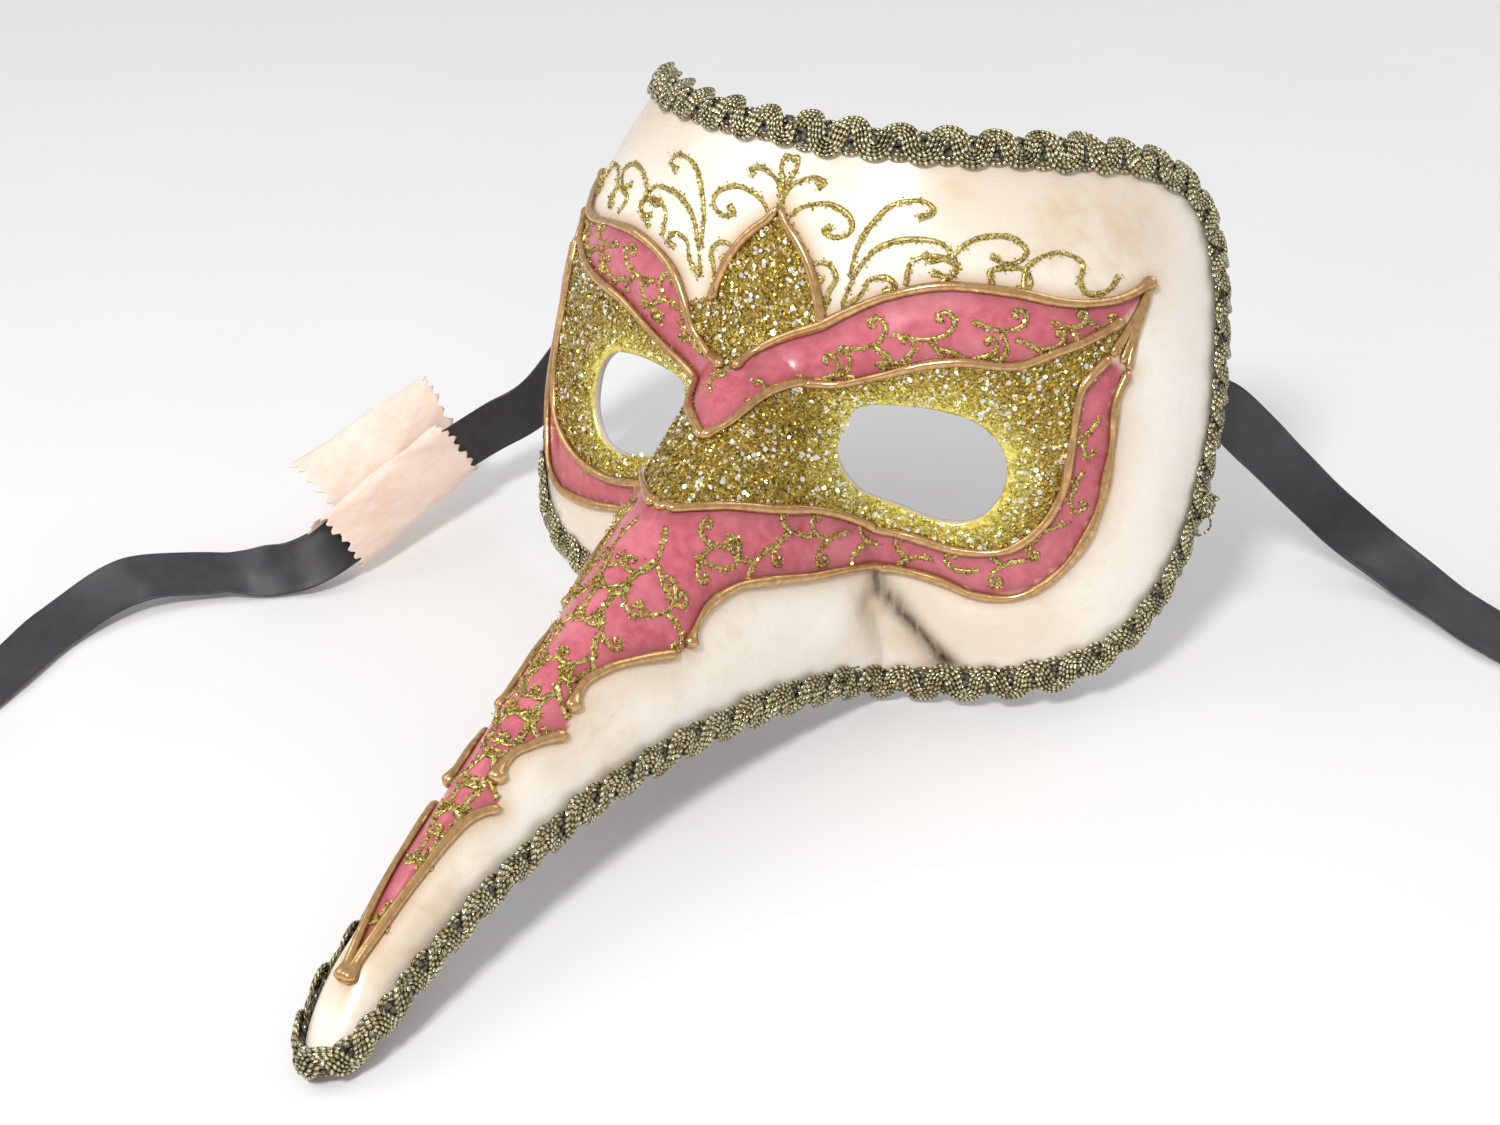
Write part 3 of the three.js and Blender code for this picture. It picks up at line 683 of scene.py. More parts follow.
# Raised lines as stations and angles in degrees, for the side they name: 1 is right, -1 is left.
# The mask was painted by hand, so the two sides differ. Only the petal is alike on both.
PETAL = [(195, 0.2), (190.5, 1.6), (186, 4), (181.5, 6.3), (175, 9.3), (169, 12), (162, 15.7)]
RAISED_LINES = {
    1: {
        "upper_brow": [(139.5, -4), (144, -1.5), (150.5, 5.5), (157, 11.5), (162, 15.5), (168, 18.5),
                       (177, 23), (184, 28), (189, 35), (193, 41), (199, 45), (206, 47)],
        "lower_brow": [(123, -1), (128, 7), (137, 12.5), (146, 20), (153, 27), (160, 31), (167, 34),
                       (174, 38), (180, 43), (187, 45), (193, 46.5), (198, 47.3)],
        "inner_line": [(193, 49.5), (187, 50.5), (184, 53), (181, 57), (178, 62), (174, 65.5), (168, 67.5),
                       (160, 66), (152, 61.5), (143, 56), (134, 48.5), (124, 39), (115, 25), (109, 12),
                       (107, 4)],
        "outer_line": [(195, 52.5), (191, 54.5), (187, 61), (184, 67), (179, 72), (171, 75), (163, 74),
                       (155, 70), (147, 66.5), (138, 64.5), (127, 61), (117, 55), (109, 49.5), (102, 48),
                       (97, 52), (95, 56)],
        "scallop_1": [(92, 54), (88, 49), (83, 42), (77, 33), (72, 28), (69, 30), (67, 35)],
        "scallop_2": [(64, 42), (61, 35), (57, 26), (53, 18), (50, 18), (48, 24)],
        "scallop_3": [(46, 40), (43, 29), (39, 20), (34, 16), (29, 14), (23, 10.5), (16, 6.5), (9.5, 2)],
        "petal": PETAL,
    },
    -1: {
        "upper_brow": [(140, 9), (146, 18), (156, 22.5), (163.5, 22.3), (173, 23.5), (182, 29.5),
                       (186, 35), (190, 40.5), (199, 45), (206, 47)],
        "lower_brow": [(123, 1), (129, 13), (137, 24.5), (147, 30), (157, 34.5), (165, 36.5), (171, 38.5),
                       (180, 43.5), (187, 45.8), (193, 46.8), (198, 47.3)],
        "inner_line": [(194, 49.5), (190, 52), (188, 58), (187, 65), (183, 70.5), (175, 72), (166, 71.5),
                       (157, 69), (148, 63), (138, 55), (128, 44), (117, 28), (110, 13), (107, 4)],
        "outer_line": [(197, 52.5), (195, 57), (194, 66), (193, 75), (187, 80.5), (178, 80.5), (169, 78.5),
                       (160, 75.5), (150, 71), (139, 66), (127, 61), (117, 55), (109, 49.5), (102, 48),
                       (97, 52), (95, 56)],
        "scallop_1": [(92, 58), (88, 56), (83, 53), (77, 50), (72, 48), (69, 50), (67, 55)],
        "scallop_2": [(64, 61), (61, 56), (57, 50), (53, 45), (50, 45), (48, 51)],
        "scallop_3": [(46, 62), (43, 53), (39, 46), (34, 41), (29, 36), (23, 27), (16, 14), (9.5, 2)],
        "petal": PETAL,
    },
}
# Where the painted fields meet the middle line of the mask.
BROW_POINT = (122, 0)
NOSE_PAINT_TOP = (107, 0)
NOSE_PAINT_END = (10.5, 0)
# Eye hole in face millimetres, X then Z, seen along a cut that slants outwards.
EYE_OUTLINE = [(17.2, -6.5), (21, 1.8), (29, 3.8), (40, 3.8), (48.5, 1.6), (54.5, -4.5), (54.8, -12.5),
               (50, -18.6), (42, -20), (33, -18), (23, -15)]
# The left hole was cut lower than the right one.
EYE_DROP = {1: 0.0, -1: 4.0}
EYE_SLANT = 0.45
EYE_CUT = (-45.0, 30.0)
# The fold under the eye, where shade is painted nearly black, and places where brown wash gathered, each with
# its width in mm.
CREASE_LINE = [(145, 68), (148, 73), (151, 78), (154, 82), (158, 86)]
ANTIQUE_LINES = [([(212, 20), (213, 30), (210, 42)], 14), ([(190, 57), (180, 70)], 6),
                 ([(150, 72), (160, 79), (172, 80)], 9), ([(12, 10), (18, 40), (30, 50)], 4),
                 ([(60, 45), (75, 40), (90, 58)], 5)]


def side_lines(side):
    """Raised lines of one side, with angles that are negative on the left."""
    return {name: [(s, a * side) for s, a in places] for name, places in RAISED_LINES[side].items()}


def zones():
    """Outlines of the painted fields, as stations and signed angles."""
    right, left = side_lines(1), side_lines(-1)
    meeting = right["upper_brow"][0]
    petal = (right["petal"] + right["upper_brow"][4::-1] + left["upper_brow"][:4]
             + left["petal"][::-1])
    found = {"pink": [], "gold": [petal]}
    for line in (right, left):
        found["pink"].append([meeting] + line["upper_brow"] + line["lower_brow"][::-1] + [BROW_POINT])
        found["gold"].append([BROW_POINT] + line["lower_brow"] + line["inner_line"] + [NOSE_PAINT_TOP])
        found["pink"].append([NOSE_PAINT_TOP] + line["inner_line"][::-1] + line["outer_line"]
                             + line["scallop_1"] + line["scallop_2"] + line["scallop_3"]
                             + [NOSE_PAINT_END])
    return found


def inside_outline(x, y, outline):
    outline = np.asarray(outline, float)
    found = np.zeros(x.shape, bool)
    for (x0, y0), (x1, y1) in zip(outline, np.roll(outline, -1, 0)):
        if y0 == y1:
            continue
        crosses = (y0 > y) != (y1 > y)
        found ^= crosses & (x < (x1 - x0) * (y - y0) / (y1 - y0) + x0)
    return found


def eye_curve(side):
    """The eye outline of one side as a closed smooth curve."""
    points = np.array(EYE_OUTLINE, float) - (0, EYE_DROP[side])
    wrapped = np.vstack([points[-2:], points, points[:3]])
    return spline(wrapped, 10)[20:20 + 10 * len(points)]


def eye_plane(point, side):
    """Where points lie on a plane that faces along the cut of one eye hole."""
    return np.stack([point[..., 0] * side + EYE_SLANT * point[..., 1], point[..., 2]], -1)


def eye_distance(point):
    """How far each point lies from the nearer eye hole's outline, seen along its cut."""
    gaps = [nearest_square(eye_plane(point, side), eye_curve(side)) for side in (1, -1)]
    return np.sqrt(np.minimum(*gaps))


def line_closeness(point, line, width):
    """1 on a line of the right side or on its mirror image, and less away from it."""
    middle = on_surface(moulded, spline(line, 14))[0]
    return np.exp(-nearest_square(folded(point), middle) / width ** 2)


def shell_grid():
    tip = 0.05 + TIP_ROUND * (1 - np.cos(np.linspace(0, QUARTER, 14)))
    rest = np.arange(TIP_ROUND + 1.3, RIM_STATION - 0.6, 1.3)
    stations = np.r_[tip, rest, RIM_STATION]
    angles = np.linspace(-QUARTER, QUARTER, 181)
    return np.meshgrid(stations, angles, indexing="ij")


def painted(key, station, degrees):
    return np.any([inside_outline(station, degrees, outline) for outline in zones()[key]], 0)


def surface_tones(station, angle, point):
    degrees = np.degrees(angle)
    tones = {}
    for key in ("pink", "gold"):
        tones[key] = painted(key, station, degrees).astype(float)
    tones["gold"] *= 1 - tones["pink"]
    away = eye_distance(point)
    tones["lemon"] = np.clip(1.25 - away / 6.0, 0, 1)
    # Where the painted shade of the fold under the eye lies.
    tones["crease"] = line_closeness(point, CREASE_LINE, 2.1)
    spread = np.zeros(point.shape[:-1])
    for line, width in ANTIQUE_LINES:
        spread = np.maximum(spread, line_closeness(point, line, width) * 0.34)
    beads = np.zeros(point.shape[:-1])
    for side in (1, -1):
        near = np.zeros(point.shape[:-1])
        for line in side_lines(side).values():
            unsigned = [(place_, abs(turn)) for place_, turn in line]
            near = np.maximum(near, line_closeness(point, unsigned, 3.2) * 0.62)
        beads = np.where(point[..., 0] * side > 0, near, beads)
    spread = np.maximum(spread, line_closeness(point, CREASE_LINE, 7.0) * 0.5)
    tones["antique"] = np.maximum(spread, beads)
    return tones


def make_shell():
    station, angle = shell_grid()
    outer, normal = moulded(station, angle)
    inner = outer - normal * SHELL_THICKNESS
    tones = surface_tones(station, angle, outer)
    points = stand(np.concatenate([outer.reshape(-1, 3), inner.reshape(-1, 3)]))
    shell = make_object("papier_mache_shell", points, sheet_faces(*station.shape), shell_material())
    fix_normals(shell)
    for side in (1, -1):
        cut_eye(shell, side)
    tree = KDTree(station.size)
    skin = stand(outer.reshape(-1, 3)) * MM
    for i, place_ in enumerate(skin):
        tree.insert(place_, i)
    tree.balance()
    flat = {key: value.reshape(-1) for key, value in tones.items()}
    values = {key: np.zeros(len(shell.data.vertices), np.float32) for key in (*flat, "inside")}
    for v in shell.data.vertices:
        _, i, gap = tree.find(v.co)
        if gap > 0.6 * SHELL_THICKNESS * MM:
            values["inside"][v.index] = 1
            continue
        for key, value in flat.items():
            values[key][v.index] = value[i]
    for key, value in values.items():
        layer = shell.data.attributes.new(key, "FLOAT", "POINT")
        layer.data.foreach_set("value", value)
    shell.data.shade_smooth()
    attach(shell, "root")
    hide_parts("mask_shell")
    return outer, normal, tones


def cut_eye(shell, side):
    curve = eye_curve(side)
    ends = []
    for y in EYE_CUT:
        x = (curve[:, 0] - EYE_SLANT * y) * side
        ends.append(np.stack([x, np.full(len(x), y), curve[:, 1]], -1))
    count = len(curve)
    points = stand(np.vstack(ends))
    faces = [(k, (k + 1) % count, count + (k + 1) % count, count + k) for k in range(count)]
    faces += [tuple(range(count - 1, -1, -1)), tuple(range(count, 2 * count))]
    cutter = make_object("cutter", points, faces, shell.data.materials[0])
    fix_normals(cutter)
    modifier = shell.modifiers.new("eye", "BOOLEAN")
    modifier.operation = "DIFFERENCE"
    modifier.solver = "EXACT"
    modifier.object = cutter
    bpy.context.view_layer.objects.active = shell
    bpy.ops.object.modifier_apply(modifier=modifier.name)
    bpy.data.objects.remove(cutter)


# ---- raised gold lines

def mirrored(rows, side):
    return rows * (side, 1, 1)


def surface_line(places, lift):
    """A smooth path of the places (station, angle) on the surface, lifted off it, with normals."""
    rows = evenly(np.hstack(on_surface(moulded, spline(places, 20))), BEAD_STEP)
    normal = unit(rows[:, 3:])
    return rows[:, :3] + normal * lift, normal


def bead_radius(count, start_blob, end_blob):
    """Squeezed by hand: the width wanders, and some ends swell into drops."""
    run = np.arange(count) * BEAD_STEP
    wander = sum(chance.uniform(0.03, 0.09) * np.sin(run / chance.uniform(1.6, 7) + chance.uniform(0, 6))
                 for _ in range(5))
    radius = BEAD_RADIUS * (1 + wander)
    for blob, far in ((start_blob, run), (end_blob, run[::-1])):
        radius += blob * np.exp(-((far - 1.2) / 1.7) ** 2)
        radius *= np.sqrt(np.clip((far + 0.25) / 1.3, 0.05, 1))
    return radius


BLOBS = {"scallop_1": (0.1, 0.75), "scallop_2": (0.2, 0.85), "scallop_3": (0.2, 0.9), "petal": (0.0, 0.3),
         "upper_brow": (0.35, 0.6), "lower_brow": (0.3, 0.3), "inner_line": (0.3, 0.2),
         "outer_line": (0.2, 0.8)}


def add_reliefs(material):
    for label, side in (("right", 1), ("left", -1)):
        for name, places in side_lines(side).items():
            path, normal = surface_line(places, 0.55)
            radius = bead_radius(len(path), *BLOBS[name])
            points, faces, tones = tube(stand(path), stand_direction(normal), radius, 12, 0.92)
            bead = make_object(f"gold_{name}_{label}", points, faces, material, tones)
            fix_normals(bead)
            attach(bead, "root")
            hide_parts(f"relief_{name}_{label}")


WEB_LINES = [[(205, 47), (199, 48.4), (193.5, 49.6)], [(204.5, 47.2), (199.5, 49.4), (195, 52.4)],
             [(202, 47.8), (198, 49.6), (194.5, 51.2)], [(109, 6), (107, 0), (109, -6)]]


def add_webs(material):
    """Extra runs of the same gold where lines meet: at the temples and over the nose."""
    parts = []
    for side in (1, -1):
        for places in WEB_LINES:
            path, normal = surface_line(places, 0.35)
            radius = bead_radius(len(path), 0.0, 0.0) * 0.95
            path, normal = mirrored(path, side), mirrored(normal, side)
            parts.append(tube(stand(path), stand_direction(normal), radius, 10, 0.8))
    points, faces, tones = joined(parts)
    web = make_object("gold_joins", points, faces, material, tones)
    fix_normals(web)
    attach(web, "root")


# ---- braid

def rim_loop():
    """Evenly spaced rim places all the way round, with their normals and outward directions."""
    angle = np.radians(np.r_[np.arange(0, 90, 1.5), np.full(1, 90.0)])
    top = np.stack([np.full(len(angle), RIM_STATION), angle], -1)
    side = np.arange(RIM_STATION - 1.5, TIP_ROUND, -1.5)
    side = np.stack([side, np.full(len(side), QUARTER)], -1)
    curl = np.radians(np.arange(90, -1, -5))
    tip = np.stack([0.02 + TIP_ROUND * (1 - np.cos(curl)), np.full(len(curl), QUARTER)], -1)
    places = np.vstack([top, side, tip])
    point, normal = smooth_surface(places[:, 0], places[:, 1])
    normal[-1] = (0, -1, 0)
    forward = np.gradient(point, axis=0)
    rows = np.hstack([point, normal, unit(np.cross(normal, forward))])
    other = rows.copy()
    other[:, [0, 3, 6]] *= -1
    loop = evenly(np.vstack([rows, other[::-1][1:]]), 0.25)
    for k in (3, 6):
        loop[:, k:k + 3] = unit(loop[:, k:k + 3])
    return loop


def on_rim(loop, along, aside, height):
    """Points at lengths along the rim, offsets across the braid, and heights over the shell."""
    length = run_length(loop[:, :3])
    along = np.clip(along, 0, length[-1])
    rows = np.stack([np.interp(along, length, loop[:, k]) for k in range(9)], -1)
    # On the left of the nose it was glued a little lower.
    tucked = np.clip(-rows[:, 0] / 3, 0, 1) * np.clip((-60 - rows[:, 1]) / 20, 0, 1)
    aside = aside + BRAID_MIDDLE + 1.6 * tucked
    # Past the edge the braid droops over it.
    droop = np.maximum(aside - 0.5, 0) ** 2 * 0.07
    point = rows[:, :3] + rows[:, 6:] * aside[:, None] + rows[:, 3:6] * (height - droop)[:, None]
    return stand(point), stand_direction(rows[:, 3:6])


def braid_strand(loop, total, periods, offset, lift, phase, radius):
    """One thread of the meander: a swelling snake, moved sideways by offset."""
    turn = np.linspace(0, 2 * math.pi * periods, periods * 26) + phase
    pitch = total / periods
    swing = 1 + 0.10 * np.sin(turn * 0.37) + 0.06 * np.sin(turn * 0.171 + 1)
    along = (turn - phase) * pitch / (2 * math.pi) - BRAID_SWELL * np.sin(2 * turn)
    aside = BRAID_WAVE * np.sin(turn) * swing
    way = unit(np.stack([np.gradient(along), np.gradient(aside)], -1))
    along = along - way[:, 1] * offset
    aside = aside + way[:, 0] * offset
    crown = 0.9 - 0.05 * aside ** 2
    bounce = 0.22 * np.sin(2 * turn + offset * 1.7) + 0.1 * np.sin(turn * 0.9 + offset)
    height = BRAID_BASE + lift + crown + bounce
    point, normal = on_rim(loop, along, aside, height)
    return tube(point, normal, radius, 6)


def add_braid():
    loop = rim_loop()
    total = run_length(loop[:, :3])[-1]
    periods = int(round(total / BRAID_PITCH))
    gold = braid_material("gold_braid", (0.36, 0.29, 0.12), (0.92, 0.87, 0.60), (0.07, 0.055, 0.03), 0.92)
    # Painted shade: a dark material for threads that darken the gaps between the braid's lobes.
    gap_shade_look = braid_material("braid_gap_shade", (0.13, 0.11, 0.09), (0.2, 0.18, 0.14), (0.03, 0.03, 0.035), 0.4)
    strands = [braid_strand(loop, total, periods, offset, 0.0, 0.0, STRAND_RADIUS * size)
               for offset, size in ((-1.5, 1.0), (-0.75, 0.9), (0.0, 0.95), (0.75, 0.9), (1.5, 1.0))]
    under = [braid_strand(loop, total, periods, offset, -0.7, math.pi, STRAND_RADIUS * 0.8)
             for offset in (-1.0, 0.0)]
    points, faces, tones = joined(strands + under)
    braid = make_object("gimp_braid", points, faces, gold, tones)
    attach(braid, "root")
    runs = [f"braid_{run}_{side}" for run in ("side", "cheek", "nose") for side in ("right", "left")]
    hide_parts("braid_top", "braid_tip", *runs)
    # Three dark threads laid under the strands stand in for the shade in the gaps between the lobes.
    gap_shade_runs = []
    along = np.arange(0, total, 0.5)
    for aside, height, radius in ((-1.5, 0.7, 0.75), (0.0, 0.9, 0.8), (1.5, 0.7, 0.75)):
        wave = aside + 0.35 * np.sin(along * 2.1 + aside)
        point, normal = on_rim(loop, along, wave, height + 0.15 * np.sin(along * 1.7 + aside))
        gap_shade_runs.append(tube(point, normal, radius, 6))
    points, faces, tones = joined(gap_shade_runs)
    gap_shade_braid = make_object("braid_gap_shade", points, faces, gap_shade_look, tones)
    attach(gap_shade_braid, "root")
    add_braid_ends(gold, loop)


def add_braid_ends(material, loop):
    """The two cut ends meet low on one side and leave a few loose threads."""
    start = 158.0
    parts = []
    for k in range(6):
        share = np.linspace(0, 1, 24)
        lean = chance.uniform(-1.5, 1.5)
        along = start + lean + (2.0 + 0.7 * k) * share * (1 if k % 2 else -0.6)
        aside = -1.0 + 3.0 * np.sin(math.pi * share * chance.uniform(0.7, 1.1)) + 0.4 * k - 1
        height = 2.2 + 2.2 * np.sin(math.pi * share) * chance.uniform(0.5, 1.0)
        point, normal = on_rim(loop, along, aside, height)
        parts.append(tube(point, normal, 0.26, 6))
    points, faces, tones = joined(parts)
    ends = make_object("braid_ends", points, faces, material, tones)
    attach(ends, "root")


# ---- painted glitter scrolls

def local_scale(station, angle):
    """Millimetres for each unit of station and for each degree at a place."""
    here, _ = smooth_surface(station, math.radians(angle))
    on, _ = smooth_surface(station + 0.5, math.radians(angle))
    aside, _ = smooth_surface(station, math.radians(angle + 0.5))
    return np.linalg.norm(on - here) * 2, np.linalg.norm(aside - here) * 2


def scroll(station, angle, size, heading, turns, hand):
    """A stem that winds into a spiral: places (station, angle) that follow it."""
    per_station, per_degree = local_scale(station, angle)
    share = np.linspace(0, 1, 34)
    bend = hand * (0.6 * share + turns * 2 * math.pi * share ** 2.1)
    direction = math.radians(heading) + bend
    pace = size * (1 - 0.86 * share ** 0.8) / 11
    u = np.cumsum(np.cos(direction) * pace)
    v = np.cumsum(np.sin(direction) * pace)
    return np.stack([station + u / per_station, angle + v / per_degree], -1)


# Scrolls of one half: station, angle, size in mm, heading in degrees, turns, and 1 or -1 for the way
# that it winds. Heading 0 runs from the nose tip towards the forehead, 90 away from the middle line.
PINK_SCROLLS = [
    # upper brow band
    (137, 13, 7, 30, 1.0, 1), (146, 17, 7, 60, 1.0, -1), (150, 23, 7, 20, 1.1, 1),
    (160, 22, 8, 50, 1.1, -1), (162, 29, 7, 30, 1.0, 1), (170, 27, 9, 70, 1.1, -1),
    (173, 34, 8, 60, 1.0, 1), (181, 34, 8, 80, 1.1, -1), (183, 40, 7, 60, 1.0, 1),
    (189, 41, 6, 70, 1.0, -1), (193, 44, 5, 60, 0.9, 1), (133, 7, 5, 40, 1.0, -1),
    # band under the eye
    (188, 55, 6, 150, 1.0, 1), (183, 60, 7, 140, 1.0, -1), (179, 66, 7, 170, 1.0, 1),
    (172, 70, 7, 190, 1.1, -1), (164, 70, 7, 180, 1.0, 1), (156, 67, 7, 200, 1.0, -1),
    (148, 62, 7, 190, 1.0, 1), (140, 57, 8, 200, 1.1, -1), (131, 53, 9, 210, 1.1, 1),
    (122, 48, 9, 190, 1.1, -1), (114, 40, 9, 210, 1.1, 1),
    # upper side of the nose
    (105, 8, 11, 150, 1.2, 1), (104, 28, 10, 60, 1.2, -1), (98, 16, 10, 200, 1.2, -1),
    (95, 38, 10, 100, 1.1, 1), (90, 6, 9, 170, 1.2, 1), (88, 26, 9, 40, 1.1, -1),
    (81, 14, 9, 160, 1.2, -1), (78, 24, 7, 200, 1.0, 1), (73, 5, 8, 150, 1.1, 1),
    (68, 18, 8, 200, 1.1, -1), (62, 6, 7, 150, 1.1, 1), (58, 18, 6, 190, 1.0, -1),
    (52, 4, 6, 150, 1.0, 1), (46, 16, 6, 200, 1.0, -1), (41, 5, 5, 150, 1.0, 1),
    (35, 9, 5, 190, 1.0, -1), (29, 4, 4, 150, 0.9, 1), (23, 5, 4, 190, 0.9, -1),
]
# Free curls of one half above the brow and over the petal: places (station, angle).
FOREHEAD_CURLS = [
    [(192, 1.5), (197, 4), (199, 7.5), (196, 11), (191, 12), (188.5, 10), (190, 8), (192, 9)],
    [(178, 15.5), (187, 14.2), (196, 14.5), (202.5, 16), (204, 18.8), (201, 20.8), (199, 19.4)],
    [(170, 17), (180, 16.2), (188, 17), (192.5, 20), (193.5, 24), (191, 26), (188.5, 24.5), (190, 23)],
    [(166, 14.5), (171, 13.5), (177, 13.3), (180, 10.5), (178, 7.7), (174, 7.9), (173, 10.2), (175.5, 11)],
    [(169, 17.5), (174, 19), (179, 18.8), (181, 21), (179.5, 23), (177.3, 21.8)],
    [(181, 24), (187, 22.5), (190, 24.5), (189.5, 27.5), (186.5, 28), (186, 25.8)],
    [(183, 27), (188, 28.3), (192, 26.5), (197, 27.5), (199, 30.5), (197, 33.3), (193.5, 32.5), (194, 30.2)],
    [(188, 34), (191, 31.5), (194, 34.5), (192, 36.5), (190, 35.5)],
    [(190, 36.5), (195, 34.5), (199.5, 36), (200, 39), (197, 40.5), (196.5, 42), (199, 43.5), (202, 43.3)],
    [(194, 0.4), (199, 0.2), (204, 0.5), (209, 1.2), (212, 0.8), (211, 0.1)],
    [(200, 0.3), (204, 1.6), (206.5, 4.2), (205.5, 5.8), (203.5, 5)],
]


def scroll_paths():
    """Every scroll of one half; those on the pink also put out a small counter curl."""
    for station, angle, size, heading, turns, hand in PINK_SCROLLS:
        stem = scroll(station, angle, size * 1.25, heading, turns, hand)
        for path in (stem, scroll(*stem[7], size * 0.8, heading - 25 * hand, turns * 0.9, -hand)):
            kept = painted("pink", path[:, 0], path[:, 1])
            ends = np.flatnonzero(~kept)
            path = path[:ends[0]] if len(ends) else path
            if len(path) > 8:
                yield path
    yield from FOREHEAD_CURLS


def add_scrolls(material):
    parts = []
    for side in (1, -1):
        for places in scroll_paths():
            path, normal = surface_line(places, 0.05)
            count = len(path)
            share = np.linspace(0, 1, count)
            radius = SCROLL_RADIUS * (0.8 + 0.15 * np.sin(share * 9 + count)
                                      + 0.55 * np.exp(-((1 - share) / 0.06) ** 2))
            radius *= chance.uniform(0.88, 1.12, count)
            path, normal = mirrored(path, side), mirrored(normal, side)
            parts.append(tube(stand(path), stand_direction(normal), radius, 6, 0.6))
    points, faces, tones = joined(parts)
    scrolls = make_object("glitter_scrolls", points, faces, material, tones)
    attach(scrolls, "root")
    middle = points.reshape(-1, 6, 3)
    return middle.mean(1), middle[:, 1] - middle.mean(1)


# ---- loose glitter

def flakes(centres, normals, size, tilt, lemon):
    """Small tilted six-sided flakes at the centres. Returns points, faces and tones."""
    count = len(centres)
    lean = unit(normals + chance.normal(0, tilt, (count, 3)))
    pick = np.where(np.abs(lean[:, :1]) < 0.8, [[1.0, 0, 0]], [[0, 1.0, 0]])
    u = unit(np.cross(lean, pick))
    v = np.cross(lean, u)
    radius = (size * chance.uniform(0.6, 1.25, count))[:, None, None]
    turn = np.arange(6) * math.pi / 3
    ring = u[:, None] * np.cos(turn)[None, :, None] + v[:, None] * np.sin(turn)[None, :, None]
    points = (centres[:, None] + ring * radius).reshape(-1, 3)
    index = np.arange(count * 6).reshape(-1, 6)
    # Big flakes get a near-white tone: painted glint.
    tone = np.where(size > 0.4, 0.97, chance.uniform(0, 1, count))
    return points, [tuple(row) for row in index.tolist()], {"tone": np.repeat(tone, 6),
                                                            "lemon": np.repeat(lemon, 6)}


def add_glitter(grid, scroll_centres, scroll_normals):
    outer, normal, tones = grid
    side_a = outer[1:, :-1] - outer[:-1, :-1]
    side_b = outer[:-1, 1:] - outer[:-1, :-1]
    area = np.linalg.norm(np.cross(side_a, side_b), axis=-1)
    away = eye_distance(outer)[:-1, :-1]
    hole = np.zeros(away.shape, bool)
    for side in (1, -1):
        x, z = np.moveaxis(eye_plane(outer[:-1, :-1], side), -1, 0)
        hole |= inside_outline(x, z, eye_curve(side))
    weight = area * tones["gold"][:-1, :-1] * (~hole) * (away > 0.6)
    weight = (weight * (0.75 + 0.9 * tones["lemon"][:-1, :-1])).reshape(-1)
    pick = chance.choice(len(weight), FIELD_FLAKES, p=weight / weight.sum())
    row, column = np.divmod(pick, away.shape[1])
    a, b = chance.uniform(0, 1, (2, len(pick), 1))
    centres = outer[row, column] + side_a[row, column] * a + side_b[row, column] * b
    upward = normal[row, column]
    centres = centres + upward * chance.uniform(0.12, 0.5, (len(pick), 1))
    glinting = chance.uniform(0, 1, len(pick)) < GLINT_FLAKE_SHARE
    size = np.where(glinting, GLINT_FLAKE_RADIUS, FLAKE_RADIUS)
    lemon = np.clip(tones["lemon"][row, column] * 1.1, 0, 1)
    parts = [flakes(stand(centres), stand_direction(upward), size, 0.36, lemon)]
    pick = chance.integers(0, len(scroll_centres), SCROLL_FLAKES)
    upward = unit(scroll_normals[pick])
    jitter = chance.normal(0, 0.36, (len(pick), 3))
    parts.append(flakes(scroll_centres[pick] + upward * 0.32 + jitter, upward,
                        np.full(len(pick), FLAKE_RADIUS), 0.5, np.full(len(pick), 0.25)))
    points, faces, tone = joined(parts)
    glitter = make_object("glitter_flakes", points, faces, glitter_material(), tone, smooth=False)
    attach(glitter, "root")


# ---- pads, floor and light

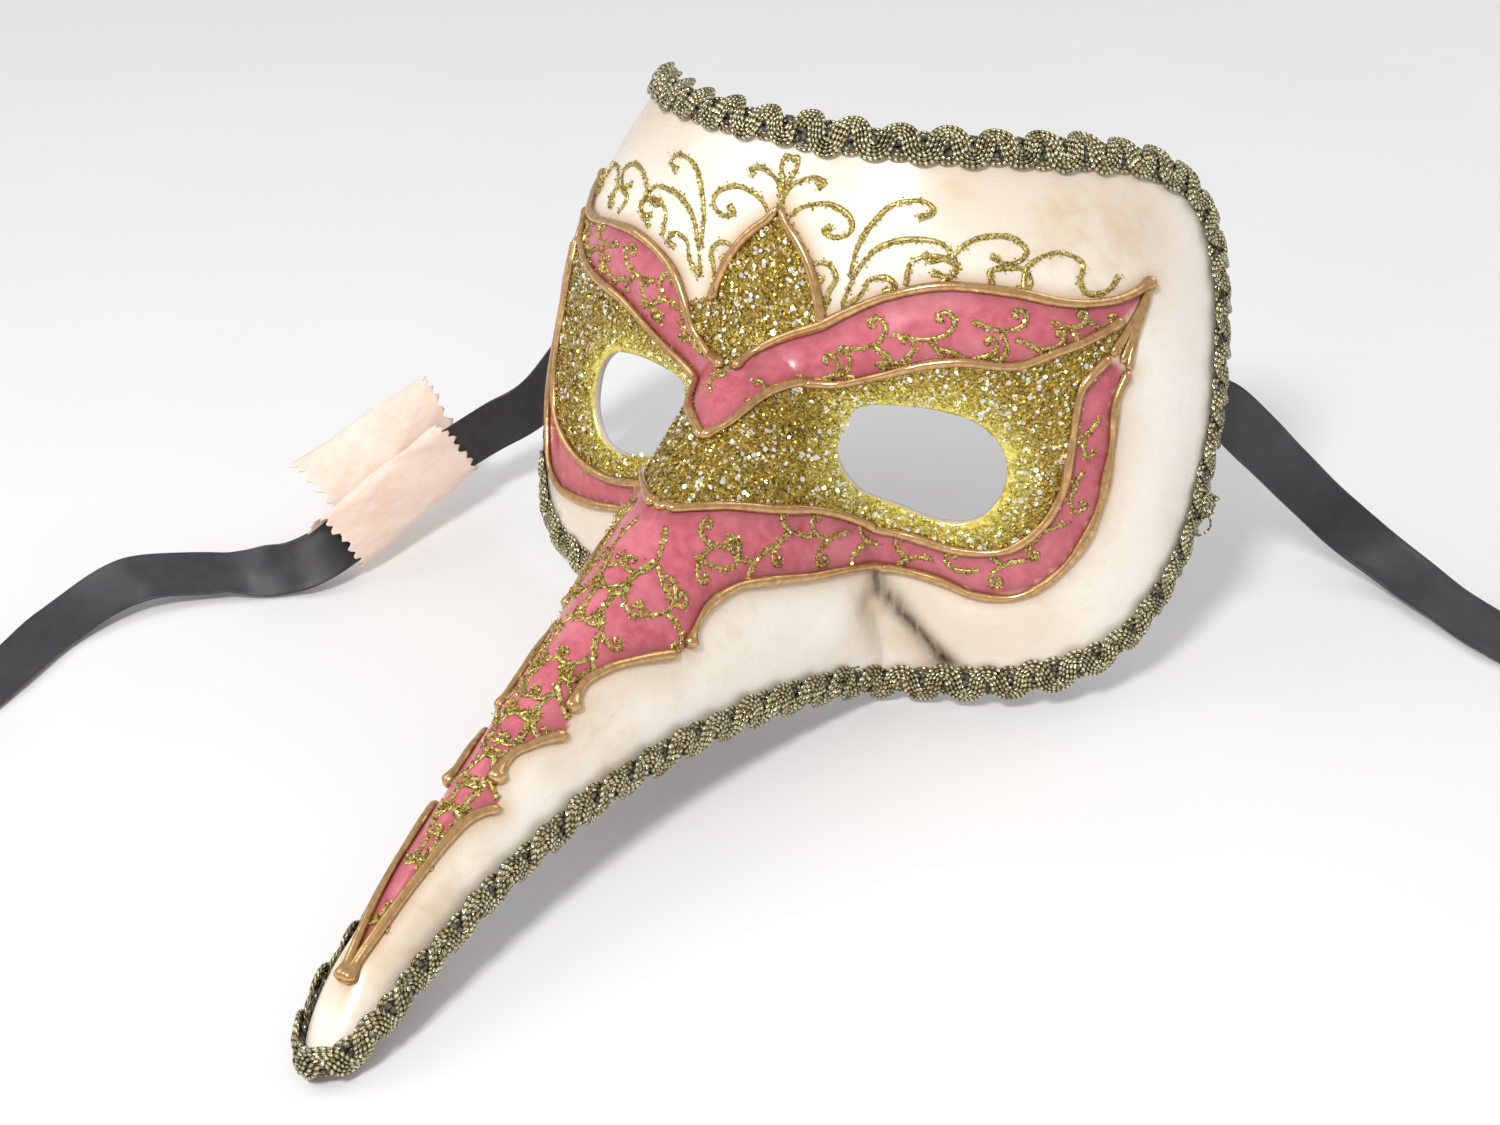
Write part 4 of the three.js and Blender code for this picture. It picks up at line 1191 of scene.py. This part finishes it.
def add_pads():
    material = felt_material()
    for label in ("right", "left"):
        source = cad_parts[f"ribbon_pad_{label}"]
        mesh = source.data.copy()
        pad = bpy.data.objects.new(f"felt_pad_{label}", mesh)
        bpy.context.scene.collection.objects.link(pad)
        work = bmesh.new()
        work.from_mesh(mesh)
        bmesh.ops.remove_doubles(work, verts=work.verts, dist=1e-6)
        bmesh.ops.dissolve_limit(work, angle_limit=0.01, verts=work.verts, edges=work.edges)
        bmesh.ops.bevel(work, geom=list(work.edges), offset=0.3 * MM, segments=3, affect="EDGES")
        bmesh.ops.triangulate(work, faces=work.faces)
        bmesh.ops.subdivide_edges(work, edges=[e for e in work.edges if e.calc_length() > 2 * MM], cuts=7,
                                  use_grid_fill=True)
        for vertex in work.verts:
            vertex.co += Vector([random.uniform(-0.05, 0.05) * MM for _ in range(3)])
        work.to_mesh(mesh)
        work.free()
        mesh.materials.clear()
        mesh.materials.append(material)
        mesh.shade_smooth()
        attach(pad, "root")
        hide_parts(f"ribbon_pad_{label}")


def add_floor():
    size = 3000.0
    floor = make_object("floor", [(-size, -size, -0.4), (size, -size, -0.4), (size, size, -0.4),
                                  (-size, size, -0.4)], [(0, 1, 2, 3)], floor_material(), smooth=False)


def add_light(name, place_, target, width, power, colour=(1, 1, 1)):
    data = bpy.data.lights.new(name, "AREA")
    data.energy = power
    data.size = width
    data.color = colour
    light = bpy.data.objects.new(name, data)
    light.location = place_
    light.rotation_euler = (Vector(target) - Vector(place_)).to_track_quat("-Z", "Y").to_euler()
    bpy.context.scene.collection.objects.link(light)


def add_lights():
    world = bpy.data.worlds.new("studio")
    bpy.context.scene.world = world
    world.use_nodes = True
    back = world.node_tree.nodes["Background"]
    back.inputs["Color"].default_value = (1, 1, 1, 1)
    back.inputs["Strength"].default_value = 0.58
    bpy.context.scene.view_settings.view_transform = "Standard"
    add_light("key", (0.12, -0.62, 0.75), (0, 0, 0.05), 0.16, 6.0, (1, 0.985, 0.96))
    add_light("fill", (-0.9, -0.5, 0.8), (0, 0, 0.05), 0.9, 3.5)
    add_light("back", (0.5, 0.9, 0.9), (0, 0, 0.05), 0.8, 3.0)


# ---- whole scene


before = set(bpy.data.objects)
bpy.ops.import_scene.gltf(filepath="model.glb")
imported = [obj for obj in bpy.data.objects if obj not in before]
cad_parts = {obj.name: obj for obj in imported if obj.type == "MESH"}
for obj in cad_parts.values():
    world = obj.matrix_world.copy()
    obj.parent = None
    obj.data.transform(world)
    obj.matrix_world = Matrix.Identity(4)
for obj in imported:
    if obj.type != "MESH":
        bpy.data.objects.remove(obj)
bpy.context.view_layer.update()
make_camera()
folded_tag = make_tag()
add_ribbons()
grid = make_shell()
gold = relief_material()
add_reliefs(gold)
add_webs(gold)
add_braid()
centres, uprights = add_scrolls(scroll_material())
add_glitter(grid, centres, uprights)
add_pads()
add_floor()
add_lights()
